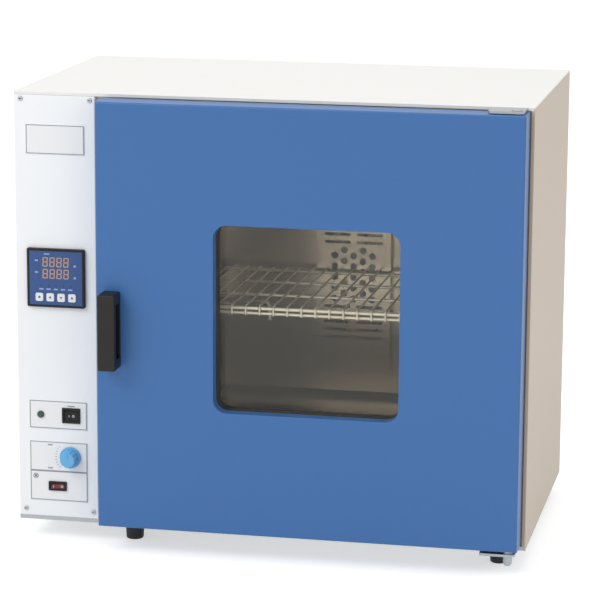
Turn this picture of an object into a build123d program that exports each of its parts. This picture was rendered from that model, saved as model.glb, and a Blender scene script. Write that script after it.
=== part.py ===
from build123d import *
import math
import os

os.makedirs("parts", exist_ok=True)

# Bench-top forced-air drying oven. Millimetres, +Z up, X to the viewer's right and Y into the depth.
# The origin is on the bench, under the middle of the oven's box. The door faces -Y.

# Case
SHEET = 1.2
EDGE_HEM = 4.0
HEM_DEPTH = 10.0
BASE_LIP = 5.0
REAR_FLANGE = 12.0
FRAME_RECESS = 6.0
FRAME_RETURN = 12.0
SEAM = 0.2
TOP_EDGE_RADIUS = 1.0
HEM_RADIUS = 1.6

# Feet
FOOT_HEIGHT = 24.0
FOOT_RADIUS = 12.0
FOOT_TAPER = 1.5
FOOT_EDGE_RADIUS = 2.0
FOOT_LEFT_INSET = 138.5
FOOT_RIGHT_INSET = 34.5
FOOT_END_INSET = 30.0
FOOT_SCREW_RADIUS = 2.5
FOOT_SCREW_HEAD_RADIUS = 5.0
FOOT_SCREW_HEAD_HEIGHT = 3.0
FOOT_SCREW_GRIP = 12.0
NUT_HEIGHT = 4.0

# Chamber
CHAMBER_WIDTH = 340.0
CHAMBER_HEIGHT = 325.0
CHAMBER_DEPTH = 302.0
CHAMBER_SIDE_INSET = 84.25
CHAMBER_TOP_INSET = 91.75
CHAMBER_BOTTOM_INSET = 99.75
LINER_SHEET = 1.0
LINER_FLANGE = 14.0
LINER_CORNER = 7.0
LINER_FIT = 0.5
INSULATION_BACK = 29.0
MOTOR_SPACE = 27.0
INSULATION_FIT = 0.3
DUCT_SPACE = 32.0
DUCT_FIT = 0.3
BULGE_WIDTH = 96.0
BULGE_HEIGHT = 250.0
BULGE_DEPTH = 12.0
INTAKE_HOLE_RADIUS = 4.5
INTAKE_PITCH = 14.0
SLOT_LENGTH = 34.0
SLOT_WIDTH = 4.0
SLOT_PITCH = 10.0
SLOT_ROWS = 5
SLOT_COLUMN_PITCH = 42.0
SLOT_FIRST = 42.0
INTAKE_ROWS = 5

# Shelf
SHELF_HEIGHT = 170.6
SHELF_SIDE_GAP = 2.0
SHELF_FRONT_SETBACK = 14.0
SHELF_BACK_GAP = 8.0
RIM_WIRE = 4.5
RIM_BEND = 9.0
GRID_WIRE = 2.6
GRID_PITCH = 17.0
CROSS_WIRE = 3.6
CROSS_WIRES = 2
RIM_DROP = 6.0
WIRE_GAP = 0.05
RUNNER_WIDTH = 10.0
RUNNER_HEIGHT = 8.0
RUNNER_SHEET = 1.2
RUNNER_END_GAP = 4.0
REST_GAP = 0.1

# Door
PANEL_DOOR_GAP = 11.0
DOOR_RIGHT_MARGIN = 5.0
DOOR_TOP_MARGIN = 4.5
DOOR_BOTTOM_MARGIN = 9.0
DOOR_THICKNESS = 36.0
DOOR_GAP = 5.0
DOOR_SHEET = 1.2
DOOR_EDGE_RADIUS = 2.5
WINDOW_WIDTH = 222.5
WINDOW_HEIGHT = 226.0
WINDOW_RAISE = 4.0
WINDOW_CORNER = 16.0
COLLAR_DEPTH = 14.0
COLLAR_EDGE_RADIUS = 0.9
INNER_PLATE = 1.0
PANE_THICKNESS = 4.0
PANE_OVERLAP = 12.0
PANE_FIT = 0.1
GASKET_WALL = 6.0
GASKET_LIP = 1.5
SEAL_WIDTH = 12.0
SEAL_OFFSET = 4.0
SEAL_RADIUS = 3.5
SEAL_CLEARANCE = 0.3

# Door handle
HANDLE_WIDTH = 21.5
HANDLE_HEIGHT = 92.0
HANDLE_REACH = 28.0
HANDLE_INSET = 8.5
HANDLE_LIFT = -13.25
HANDLE_RADIUS = 2.5
HANDLE_EDGE_RADIUS = 2.0
SCOOP_HEIGHT = 66.0
SCOOP_DEPTH = 13.5
SCOOP_LIP = 8.0
SCOOP_BASE = 5.0
HANDLE_SCREW_PITCH = 64.0

# Hinges
PIN_EDGE = 12.5
PIN_SETBACK = 16.0
PIN_RADIUS = 4.0
PIN_CLEARANCE = 0.05
PIN_ENGAGEMENT = 18.0
PIN_HEAD_RADIUS = 6.5
PIN_HEAD_HEIGHT = 1.0
NUT_DOME_RADIUS = 5.2
NUT_DOME_ROUNDING = 4.2
NUT_DOME_LENGTH = 13.0
LEAF_THICKNESS = 3.0
LEAF_GAP = 1.0
LEAF_WIDTH = 42.0
LEAF_MARGIN = 9.0
LEAF_RADIUS = 4.0
LEG_WIDTH = 19.0
LEG_END = 9.0
LEG_FRONT = 2.2
BOTTOM_LEAF_LEVEL = 1.5
COLLAR_GAP = 0.3
HINGE_SCREW_INSET = 15.0
HINGE_SCREW_PITCH = 20.0
HINGE_SCREW_TAIL = 6.0
HINGE_BLOCK_WIDTH = 22.0
HINGE_BLOCK_HEIGHT = 24.0
BLOCK_FIT = 0.3

# Magnet catch and its keeper
CATCH_WIDTH = 12.0
CATCH_HEIGHT = 44.0
KEEPER_THICKNESS = 1.5
KEEPER_MARGIN = 3.0
CATCH_CLEARANCE = 0.3
CATCH_CHAMFER = 0.8

# Control panel
PANEL_SHEET = 1.5
PANEL_RETURN = 14.0
PANEL_EDGE_RADIUS = 1.2
PLATE_THICKNESS = 1.0
PLATE_WIDTH = 72.0
PLATE_RADIUS = 1.0
PLATE_LEFT_MARGIN = 15.0
PLATE_RIGHT_MARGIN = 13.5
NAME_PLATE_HEIGHT = 35.0
NAME_PLATE_DROP = 57.5
POWER_PLATE_HEIGHT = 34.5
POWER_PLATE_GAP = 16.75
DAMPER_PLATE_HEIGHT = 37.0
DAMPER_PLATE_LEVEL = 81.5
FAN_PLATE_HEIGHT = 37.0
SCREW_SIDE_INSET = 8.5
SCREW_RIGHT_INSET = 6.5
SCREW_TOP_INSET = 5.0
SCREW_BOTTOM_INSET = 8.8
RAIL_FIT = 2.0
RAIL_DEPTH = 20.0
SCREW_RADIUS = 1.5
SCREW_HEAD_RADIUS = 3.0
SCREW_HEAD_HEIGHT = 1.6
SCREW_GRIP = 6.0
SCREW_TAIL = 3.0
SCREW_FIT = 0.1

# Temperature controller
BEZEL_SIZE = 72.0
BEZEL_RISE = 5.0
BEZEL_RADIUS = 2.0
BEZEL_LEVEL = 304.5
BODY_STEP = 2.5
BODY_DEPTH = 80.0
CUTOUT_FIT = 0.3
BEZEL_RIM = 3.0
FACE_THICKNESS = 1.2
FACE_SINK = 0.4
DISPLAY_SIDE_INSET = 15.0
DISPLAY_TOP_INSET = 8.5
DISPLAY_BOTTOM_INSET = 32.5
LED_RADIUS = 1.1
LED_LEVEL = 26.5
LED_PITCH = 9.0
LED_COUNT = 5
LED_RISE = 0.4
LENS_SINK = 0.2
DISPLAY_FIT = 0.1
BODY_WALL = 2.0
DECK = 1.5
KEY_WIDTH = 9.6
KEY_HEIGHT = 10.0
KEY_RADIUS = 2.0
KEY_PITCH = 13.6
KEY_LEVEL = 12.5
KEY_RISE = 1.2
KEY_EDGE_RADIUS = 0.4
KEY_GAP = 0.3
KEY_TRAVEL = 0.8
KEY_FLANGE = 0.8
KEY_FLANGE_THICKNESS = 1.0
KEY_STEM_RADIUS = 2.5
KEY_GUIDE = 0.08
KEY_WELL = 7.0
KEY_NAMES = ("set", "shift", "down", "up")

# Rocker switches
ROCKER_TILT = 10.0
PIVOT_DEPTH = 2.5
PIVOT_RADIUS = 1.2
PIVOT_LENGTH = 1.4
PIVOT_CLEARANCE = 0.05
SWITCH_BEZEL_RISE = 2.0
SWITCH_WALL = 1.6
SWITCH_END_WALL = 2.4
SWITCH_STEP = 1.2
SWITCH_CORNER = 1.0
PIVOT_END_GAP = 0.3
SWITCH_BODY_DEPTH = 22.0
ROCKER_SIDE_GAP = 0.4
ROCKER_END_GAP = 1.0
ROCKER_TAPER = 2.0
ROCKER_SHOULDER = 4.0
ROCKER_BACK = 6.0
ROCKER_ROOM = 8.5
POWER_SWITCH_OFFSET = 16.5
POWER_SWITCH_WIDTH = 22.8
POWER_SWITCH_HEIGHT = 19.0
FAN_SWITCH_OFFSET = -1.5
FAN_SWITCH_WIDTH = 22.8
FAN_SWITCH_HEIGHT = 11.6

# Pilot lamp
LAMP_OFFSET = -22.0
LAMP_RADIUS = 4.4
LAMP_RISE = 2.4
LAMP_DOME_RADIUS = 1.4
LAMP_BODY_RADIUS = 3.6
LAMP_BODY_LENGTH = 24.0

# Damper: knob, rod and rotary shutter
DAMPER_OFFSET = 15.0
KNOB_RADIUS = 13.2
KNOB_TIP_RADIUS = 9.2
KNOB_HEIGHT = 15.0
KNOB_SKIRT = 3.0
KNOB_GAP = 0.4
KNOB_EDGE_RADIUS = 1.2
POINTER_LENGTH = 7.4
KNOB_GRIP_RADIUS = 11.4
POINTER_WIDTH = 1.6
POINTER_RISE = 0.6
FLUTE_COUNT = 12
FLUTE_RADIUS = 1.4
ROD_RADIUS = 3.0
ROD_CLEARANCE = 0.06
SHUTTER_RADIUS = 27.0
SHUTTER_THICKNESS = 1.5
SHUTTER_GAP = 0.3
SHUTTER_HUB_RADIUS = 7.0
SHUTTER_HUB_LENGTH = 9.0
PORT_OUTER = 23.0
PORT_INNER = 9.0
PORT_ANGLE = 80.0

# Circulation fan, motor, heater and rear cover
FAN_RADIUS = 55.0
FAN_DISC = 1.5
FAN_BLADES = 10
BLADE_THICKNESS = 1.5
BLADE_INNER_RADIUS = 30.0
BLADE_SWEEP_RADIUS = 30.0
BLADE_SWEEP = 42.0
FAN_HUB_RADIUS = 9.0
FAN_BACK_GAP = 4.0
FAN_FRONT_GAP = 6.0
SHAFT_RADIUS = 4.0
SHAFT_CLEARANCE = 0.05
SHAFT_HOLE_RADIUS = 6.0
MOTOR_RADIUS = 36.0
MOTOR_LENGTH = 62.0
MOTOR_GAP = 3.0
MOTOR_FLANGE_RADIUS = 50.0
MOTOR_FLANGE = 2.5
MOTOR_NOSE_RADIUS = 14.0
MOTOR_NOSE_LENGTH = 8.0
MOTOR_EDGE_RADIUS = 3.0
MOTOR_HOLE_FIT = 2.0
COVER_ROOM = 10.8
COVER_SIZE = 150.0
COVER_FLANGE = 12.0
COVER_CORNER = 6.0
COVER_SLOT_LENGTH = 50.0
COVER_SLOT_WIDTH = 4.0
COVER_SLOT_PITCH = 12.0
COVER_SLOT_ROWS = 9
COVER_SLOT_COLUMNS = 2
HEATER_RADIUS = 78.0
HEATER_TUBE = 3.5
HEATER_SLEEVE_RADIUS = 4.5
HEATER_SLEEVE_END = 5.5
HEATER_GAP_ANGLE = 30.0
HEATER_TAIL = 34.0
HEATER_FIT = 0.3

# Temperature probe
PROBE_RADIUS = 2.5
PROBE_DEPTH = 124.0
PROBE_REACH = 90.0
PROBE_DROP = 24.0
PROBE_BEND = 8.0
PROBE_CLEARANCE = 1.25
PROBE_TAIL = 20.0
PROBE_FIT = 0.1

# Parts of the control compartment
RELAY_SIZE = (22.0, 58.0, 45.0)
RELAY_LEVEL = 220.0
RELAY_SETBACK = 200.0
RELAY_BASE = 3.0
RELAY_EDGE = 1.5
RELAY_TERMINAL_RADIUS = 4.0
RELAY_TERMINAL_DEPTH = 6.0
RELAY_TERMINAL_PITCH = 42.0
RELAY_TERMINAL_SPREAD = 26.0
GLAND_INSET = 50.5
GLAND_CLEARANCE = 1.0
GLAND_BORE_RADIUS = 4.5
GLAND_BODY_RADIUS = 8.0
GLAND_NUT_RADIUS = 11.0
GLAND_OUTSIDE = 22.0
GLAND_INSIDE = 9.0
GLAND_COLLAR = 5.0
GLAND_DOME_RADIUS = 2.0

# Places worked out from the driving dimensions
panel_width = PLATE_WIDTH + PLATE_LEFT_MARGIN + PLATE_RIGHT_MARGIN
door_width = CHAMBER_WIDTH + 2 * CHAMBER_SIDE_INSET
door_height = CHAMBER_HEIGHT + CHAMBER_TOP_INSET + CHAMBER_BOTTOM_INSET
case_width = panel_width + PANEL_DOOR_GAP + door_width + DOOR_RIGHT_MARGIN
case_depth = FRAME_RECESS + CHAMBER_DEPTH + LINER_SHEET + INSULATION_BACK + MOTOR_SPACE
case_height = DOOR_BOTTOM_MARGIN + door_height + DOOR_TOP_MARGIN
cover_depth = MOTOR_GAP + MOTOR_LENGTH - MOTOR_SPACE + COVER_ROOM + SHEET
overall_depth = HANDLE_REACH + DOOR_THICKNESS + DOOR_GAP + case_depth + cover_depth
front_y = HANDLE_REACH + DOOR_THICKNESS + DOOR_GAP - overall_depth / 2
back_y = front_y + case_depth
case_bottom = FOOT_HEIGHT
case_top = FOOT_HEIGHT + case_height
case_left = -case_width / 2
case_right = case_width / 2
panel_right = case_left + panel_width
panel_bottom = case_bottom + BASE_LIP + SEAM
panel_top = case_top - EDGE_HEM - SEAM
frame_front = front_y + FRAME_RECESS
frame_back = frame_front + SHEET

door_right = case_right - DOOR_RIGHT_MARGIN
door_left = door_right - door_width
door_x = (door_left + door_right) / 2
door_bottom = case_bottom + DOOR_BOTTOM_MARGIN
door_top = case_top - DOOR_TOP_MARGIN
door_z = (door_top + door_bottom) / 2
door_front = front_y - DOOR_GAP - DOOR_THICKNESS
door_back = front_y - DOOR_GAP
window_z = door_z + WINDOW_RAISE
pin_x = door_right - PIN_EDGE
pin_y = door_front + PIN_SETBACK

chamber_x = door_x
chamber_floor = door_bottom + CHAMBER_BOTTOM_INSET
chamber_z = chamber_floor + CHAMBER_HEIGHT / 2
chamber_left = chamber_x - CHAMBER_WIDTH / 2
liner_back = frame_front + CHAMBER_DEPTH + LINER_SHEET
insulation_back = liner_back + INSULATION_BACK
duct_front = frame_front + CHAMBER_DEPTH - DUCT_SPACE
bulge_front = duct_front - BULGE_DEPTH
fan_width = DUCT_SPACE - FAN_BACK_GAP - FAN_FRONT_GAP
shelf_z = chamber_floor + SHELF_HEIGHT
shelf_front = frame_front + SHELF_FRONT_SETBACK
shelf_back = bulge_front - SHELF_BACK_GAP
grid_z = shelf_z - GRID_WIRE / 2
wire_bend = (RIM_WIRE + GRID_WIRE) / 2 + WIRE_GAP
rim_z = grid_z - wire_bend
runner_top = rim_z - RIM_WIRE / 2 - REST_GAP
probe_y = frame_front + PROBE_DEPTH
probe_z = runner_top - RUNNER_HEIGHT - PROBE_RADIUS - PROBE_CLEARANCE
plate_x = case_left + PLATE_LEFT_MARGIN + PLATE_WIDTH / 2
plate_front = front_y - PLATE_THICKNESS
damper_x = plate_x + DAMPER_OFFSET
damper_z = case_bottom + DAMPER_PLATE_LEVEL
power_z = damper_z + (DAMPER_PLATE_HEIGHT + POWER_PLATE_HEIGHT) / 2 + POWER_PLATE_GAP
fan_switch_z = damper_z - (DAMPER_PLATE_HEIGHT + FAN_PLATE_HEIGHT) / 2
gland_x = case_left + GLAND_INSET
gland_z = damper_z - SHUTTER_RADIUS - GLAND_NUT_RADIUS - GLAND_CLEARANCE
body_size = BEZEL_SIZE - 2 * BODY_STEP
face_size = BEZEL_SIZE - 2 * BEZEL_RIM
bezel_front = front_y - BEZEL_RISE
bezel_z = case_bottom + BEZEL_LEVEL
bezel_bottom = bezel_z - BEZEL_SIZE / 2
display_width = BEZEL_SIZE - 2 * DISPLAY_SIDE_INSET
display_height = BEZEL_SIZE - DISPLAY_TOP_INSET - DISPLAY_BOTTOM_INSET
display_z = bezel_bottom + DISPLAY_BOTTOM_INSET + display_height / 2
face_front = bezel_front + FACE_SINK
face_back = face_front + FACE_THICKNESS
lamp_x = plate_x + LAMP_OFFSET
power_switch_x = plate_x + POWER_SWITCH_OFFSET
fan_switch_x = plate_x + FAN_SWITCH_OFFSET
power_rocker_length = POWER_SWITCH_WIDTH - 2 * (SWITCH_END_WALL + ROCKER_END_GAP)
fan_rocker_length = FAN_SWITCH_WIDTH - 2 * (SWITCH_END_WALL + ROCKER_END_GAP)
leaf_right = pin_x + LEAF_MARGIN
leaf_left = leaf_right - LEAF_WIDTH
top_leaf_low = door_top + LEAF_GAP
bottom_leaf_low = case_bottom + BOTTOM_LEAF_LEVEL
leg_height = HINGE_SCREW_INSET + HINGE_SCREW_PITCH + LEG_END
hinge_screw_places = [
    (leaf_left + LEG_WIDTH / 2, z)
    for step in (0, HINGE_SCREW_PITCH)
    for z in (case_bottom + HINGE_SCREW_INSET + step, case_top - HINGE_SCREW_INSET - step)
]
cover_screw_pitch = COVER_SIZE + COVER_FLANGE


def upright(y):
    """Upright plane at depth y, drawn as seen from the front: x to the right, y up, normal to -Y."""
    return Plane.XZ.offset(-y)


def sideways(x):
    """Upright plane at x, drawn as seen from the right: x along +Y, y up, normal to +X."""
    return Plane.YZ.offset(x)


def box_between(low, high):
    """Add a box between two corners to the part that is being built."""
    with Locations(tuple((a + b) / 2 for a, b in zip(low, high))):
        Box(*[b - a for a, b in zip(low, high)])


# Base pan: the bottom sheet with a low lip all round, and holes for the screws of the feet
foot_places = [
    (x, y)
    for x in (case_left + FOOT_LEFT_INSET, case_right - FOOT_RIGHT_INSET)
    for y in (front_y + FOOT_END_INSET, back_y - FOOT_END_INSET)
]
pan_front = front_y + PANEL_SHEET
pan_back = back_y - 2 * SHEET
pan_y = (pan_front + pan_back) / 2
with BuildPart() as base_pan:
    with BuildSketch(Plane.XY.offset(case_bottom)):
        with Locations((0, pan_y)):
            Rectangle(case_width - 2 * SHEET, pan_back - pan_front)
    extrude(amount=BASE_LIP)
    with BuildSketch(Plane.XY.offset(case_bottom + SHEET)):
        with Locations((0, pan_y)):
            Rectangle(case_width - 4 * SHEET, pan_back - pan_front - 2 * SHEET)
    extrude(amount=BASE_LIP, mode=Mode.SUBTRACT)
    with BuildSketch(Plane.XY.offset(case_bottom)):
        with Locations(*foot_places):
            Circle(FOOT_SCREW_RADIUS + SCREW_FIT)
    extrude(amount=SHEET, mode=Mode.SUBTRACT)
base_pan.part.label = "base_pan"
export_step(base_pan.part, "parts/base_pan.step")

# Feet: four tapered rubber bumpers, each recessed from below for its screw head
with BuildPart() as feet:
    with Locations(*[(x, y, 0) for x, y in foot_places]):
        Cone(FOOT_RADIUS - FOOT_TAPER, FOOT_RADIUS, FOOT_HEIGHT,
             align=(Align.CENTER, Align.CENTER, Align.MIN))
    fillet(feet.edges().filter_by(GeomType.CIRCLE).group_by(Axis.Z)[0], FOOT_EDGE_RADIUS)
    with BuildSketch(Plane.XY):
        with Locations(*foot_places):
            Circle(FOOT_SCREW_HEAD_RADIUS + SCREW_FIT)
    extrude(amount=FOOT_HEIGHT - FOOT_SCREW_GRIP, mode=Mode.SUBTRACT)
    with BuildSketch(Plane.XY):
        with Locations(*foot_places):
            Circle(FOOT_SCREW_RADIUS + SCREW_FIT)
    extrude(amount=FOOT_HEIGHT, mode=Mode.SUBTRACT)
feet.part.label = "feet"
export_step(feet.part, "parts/feet.step")

# Foot screws: pan heads inside the feet, with nuts on top of the base pan
with BuildPart() as foot_screws:
    with Locations(*[(x, y, FOOT_HEIGHT - FOOT_SCREW_GRIP) for x, y in foot_places]):
        Cylinder(FOOT_SCREW_HEAD_RADIUS, FOOT_SCREW_HEAD_HEIGHT,
                 align=(Align.CENTER, Align.CENTER, Align.MAX))
        Cylinder(FOOT_SCREW_RADIUS, FOOT_SCREW_GRIP + SHEET + NUT_HEIGHT,
                 align=(Align.CENTER, Align.CENTER, Align.MIN))
    with BuildSketch(Plane.XY.offset(case_bottom + SHEET)):
        with Locations(*foot_places):
            RegularPolygon(FOOT_SCREW_HEAD_RADIUS, 6)
    extrude(amount=NUT_HEIGHT)
foot_screws.part.label = "foot_screws"
export_step(foot_screws.part, "parts/foot_screws.step")

# Top panel: a full-size sheet whose front edge is folded under to a thick rounded hem
with BuildPart() as top_panel:
    box_between((case_left, front_y, case_top - SHEET), (case_right, back_y, case_top))
    box_between((case_left + SHEET, front_y, case_top - EDGE_HEM),
                (case_right - SHEET, front_y + HEM_DEPTH, case_top - SHEET))
    upper_edges = top_panel.faces().sort_by(Axis.Z)[-1].edges()
    fillet(upper_edges.sort_by(Axis.Y)[0], HEM_RADIUS / 2)
    fillet(top_panel.faces().sort_by(Axis.Z)[-1].edges().filter_by(Axis.Y), TOP_EDGE_RADIUS)
top_panel.part.label = "top_panel"
export_step(top_panel.part, "parts/top_panel.step")

# Side panels: sheets with an inward flange at the back; the right one has a hemmed front edge
side_top = case_top - SHEET
with BuildPart() as left_side_panel:
    with BuildSketch(Plane.XY.offset(case_bottom)):
        with BuildLine():
            Polyline(
                (case_left, front_y + PANEL_SHEET + SEAM),
                (case_left, back_y),
                (case_left + SHEET, back_y),
                (case_left + SHEET, back_y - SHEET),
                (case_left + REAR_FLANGE, back_y - SHEET),
                (case_left + REAR_FLANGE, back_y - 2 * SHEET),
                (case_left + SHEET, back_y - 2 * SHEET),
                (case_left + SHEET, front_y + PANEL_SHEET + SEAM),
                close=True,
            )
        make_face()
    extrude(amount=side_top - case_bottom)
left_side_panel.part.label = "left_side_panel"
export_step(left_side_panel.part, "parts/left_side_panel.step")

with BuildPart() as right_side_panel:
    with BuildSketch(Plane.XY.offset(case_bottom)):
        with BuildLine():
            Polyline(
                (case_right, front_y),
                (case_right, back_y),
                (case_right - SHEET, back_y),
                (case_right - SHEET, back_y - SHEET),
                (case_right - REAR_FLANGE, back_y - SHEET),
                (case_right - REAR_FLANGE, back_y - 2 * SHEET),
                (case_right - SHEET, back_y - 2 * SHEET),
                (case_right - SHEET, front_y),
                close=True,
            )
        make_face()
    extrude(amount=side_top - case_bottom)
    box_between((case_right - EDGE_HEM, front_y, case_bottom + BASE_LIP + SEAM),
                (case_right - SHEET, front_y + HEM_DEPTH, case_top - EDGE_HEM))
    front_outer = right_side_panel.edges().filter_by(Axis.Z).group_by(Axis.Y)[0].sort_by(Axis.X)[-1]
    fillet(front_outer, TOP_EDGE_RADIUS)
right_side_panel.part.label = "right_side_panel"
export_step(right_side_panel.part, "parts/right_side_panel.step")

# Back panel: sheet with the air port of the damper, the hole round the motor and the gland hole
with BuildPart() as back_panel:
    box_between((case_left + SHEET, back_y - SHEET, case_bottom), (case_right - SHEET, back_y, side_top))
    with BuildSketch(upright(back_y)):
        with Locations((chamber_x, chamber_z)):
            Circle(MOTOR_RADIUS + MOTOR_HOLE_FIT)
            with GridLocations(cover_screw_pitch, cover_screw_pitch, 2, 2):
                Circle(SCREW_RADIUS + SCREW_FIT)
        with Locations((gland_x, gland_z)):
            Circle(GLAND_BODY_RADIUS + SCREW_FIT)
        with Locations((damper_x, damper_z)):
            Circle(ROD_RADIUS + ROD_CLEARANCE)
    extrude(amount=SHEET, mode=Mode.SUBTRACT)
    for turn in (0, 180):
        with BuildSketch(upright(back_y)):
            with BuildLine():
                start = turn - PORT_ANGLE / 2
                outer = CenterArc((damper_x, damper_z), PORT_OUTER, start, PORT_ANGLE)
                inner = CenterArc((damper_x, damper_z), PORT_INNER, start, PORT_ANGLE)
                Line(outer @ 0, inner @ 0)
                Line(outer @ 1, inner @ 1)
            make_face()
        extrude(amount=SHEET, mode=Mode.SUBTRACT)
back_panel.part.label = "back_panel"
export_step(back_panel.part, "parts/back_panel.step")

# Front frame: recessed plate round the chamber opening, with its edges folded back
frame_left = panel_right + SEAM
frame_right = case_right - EDGE_HEM - SEAM
frame_bottom = case_bottom + BASE_LIP + SEAM
frame_top = case_top - EDGE_HEM - SEAM
frame_x = (frame_left + frame_right) / 2
frame_z = (frame_bottom + frame_top) / 2
frame_opening_width = CHAMBER_WIDTH + 2 * (LINER_SHEET + LINER_FIT)
frame_opening_height = CHAMBER_HEIGHT + 2 * (LINER_SHEET + LINER_FIT)
with BuildPart() as front_frame:
    with BuildSketch(upright(frame_back)):
        with Locations((frame_x, frame_z)):
            Rectangle(frame_right - frame_left, frame_top - frame_bottom)
        with Locations((chamber_x, chamber_z)):
            RectangleRounded(frame_opening_width, frame_opening_height, LINER_CORNER, mode=Mode.SUBTRACT)
        with Locations(*hinge_screw_places):
            Circle(SCREW_RADIUS + SCREW_FIT, mode=Mode.SUBTRACT)
    extrude(amount=SHEET)
    with BuildSketch(upright(frame_back)):
        with Locations((frame_x, frame_z)):
            Rectangle(frame_right - frame_left, frame_top - frame_bottom)
            Rectangle(frame_right - frame_left - 2 * SHEET, frame_top - frame_bottom - 2 * SHEET,
                      mode=Mode.SUBTRACT)
    extrude(amount=-FRAME_RETURN)
front_frame.part.label = "front_frame"
export_step(front_frame.part, "parts/front_frame.step")

# Partition between the control compartment and the insulated chamber
partition_front = frame_back + FRAME_RETURN + SEAM
with BuildPart() as partition_panel:
    box_between((panel_right, partition_front, case_bottom + SHEET),
                (panel_right + SHEET, insulation_back, case_top - EDGE_HEM - SEAM))
    with BuildSketch(sideways(panel_right)):
        with Locations((probe_y, probe_z)):
            Circle(PROBE_RADIUS + PROBE_FIT)
    extrude(amount=SHEET, mode=Mode.SUBTRACT)
partition_panel.part.label = "partition_panel"
export_step(partition_panel.part, "parts/partition_panel.step")

# Chamber liner: stainless tub with a flange that lies on the front frame
heater_y = liner_back - LINER_SHEET - DUCT_SPACE / 2
heater_tail_x = HEATER_RADIUS * math.sin(math.radians(HEATER_GAP_ANGLE / 2))
heater_tail_z = HEATER_RADIUS * math.cos(math.radians(HEATER_GAP_ANGLE / 2))
heater_ends = [(chamber_x + side * heater_tail_x, chamber_z - heater_tail_z) for side in (-1, 1)]
liner_front = frame_front - LINER_SHEET
with BuildPart() as chamber_liner:
    with BuildSketch(upright(liner_back)):
        with Locations((chamber_x, chamber_z)):
            RectangleRounded(CHAMBER_WIDTH + 2 * LINER_SHEET, CHAMBER_HEIGHT + 2 * LINER_SHEET, LINER_CORNER)
    extrude(amount=liner_back - liner_front)
    with BuildSketch(upright(frame_front)):
        with Locations((chamber_x, chamber_z)):
            RectangleRounded(CHAMBER_WIDTH + 2 * LINER_FLANGE, CHAMBER_HEIGHT + 2 * LINER_FLANGE, LINER_FLANGE)
    extrude(amount=LINER_SHEET)
    with BuildSketch(upright(liner_back - LINER_SHEET)):
        with Locations((chamber_x, chamber_z)):
            RectangleRounded(CHAMBER_WIDTH, CHAMBER_HEIGHT, LINER_CORNER - LINER_SHEET)
    extrude(amount=liner_back - liner_front, mode=Mode.SUBTRACT)
    with BuildSketch(upright(liner_back)):
        with Locations((chamber_x, chamber_z)):
            Circle(SHAFT_HOLE_RADIUS)
        with Locations(*heater_ends):
            Circle(HEATER_SLEEVE_RADIUS + HEATER_FIT)
    extrude(amount=LINER_SHEET, mode=Mode.SUBTRACT)
    with BuildSketch(sideways(chamber_left - LINER_SHEET)):
        with Locations((probe_y, probe_z)):
            Circle(PROBE_RADIUS + PROBE_FIT)
    extrude(amount=LINER_SHEET, mode=Mode.SUBTRACT)
chamber_liner.part.label = "chamber_liner"
export_step(chamber_liner.part, "parts/chamber_liner.step")

# Insulation: mineral wool round the liner, between the partition, the case and the motor space
insulation_front = frame_back + FRAME_RETURN + SEAM
insulation_left = panel_right + SHEET + INSULATION_FIT
insulation_right = case_right - 2 * SHEET - INSULATION_FIT
with BuildPart() as insulation:
    box_between((insulation_left, insulation_front, case_bottom + SHEET + INSULATION_FIT + NUT_HEIGHT),
                (insulation_right, insulation_back, case_top - EDGE_HEM - INSULATION_FIT))
    with BuildSketch(upright(liner_back + INSULATION_FIT)):
        with Locations((chamber_x, chamber_z)):
            Rectangle(CHAMBER_WIDTH + 2 * (LINER_SHEET + INSULATION_FIT),
                      CHAMBER_HEIGHT + 2 * (LINER_SHEET + INSULATION_FIT))
    extrude(amount=case_depth, mode=Mode.SUBTRACT)
    with BuildSketch(upright(insulation_back)):
        with Locations((chamber_x, chamber_z)):
            Circle(MOTOR_NOSE_RADIUS + INSULATION_FIT)
        with Locations(*heater_ends):
            Circle(HEATER_SLEEVE_RADIUS + INSULATION_FIT)
    extrude(amount=INSULATION_BACK, mode=Mode.SUBTRACT)
    with BuildSketch(sideways(insulation_left)):
        with Locations((probe_y, probe_z)):
            Circle(PROBE_RADIUS + INSULATION_FIT)
    extrude(amount=chamber_left - insulation_left, mode=Mode.SUBTRACT)
insulation.part.label = "insulation"
export_step(insulation.part, "parts/insulation.step")

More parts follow.
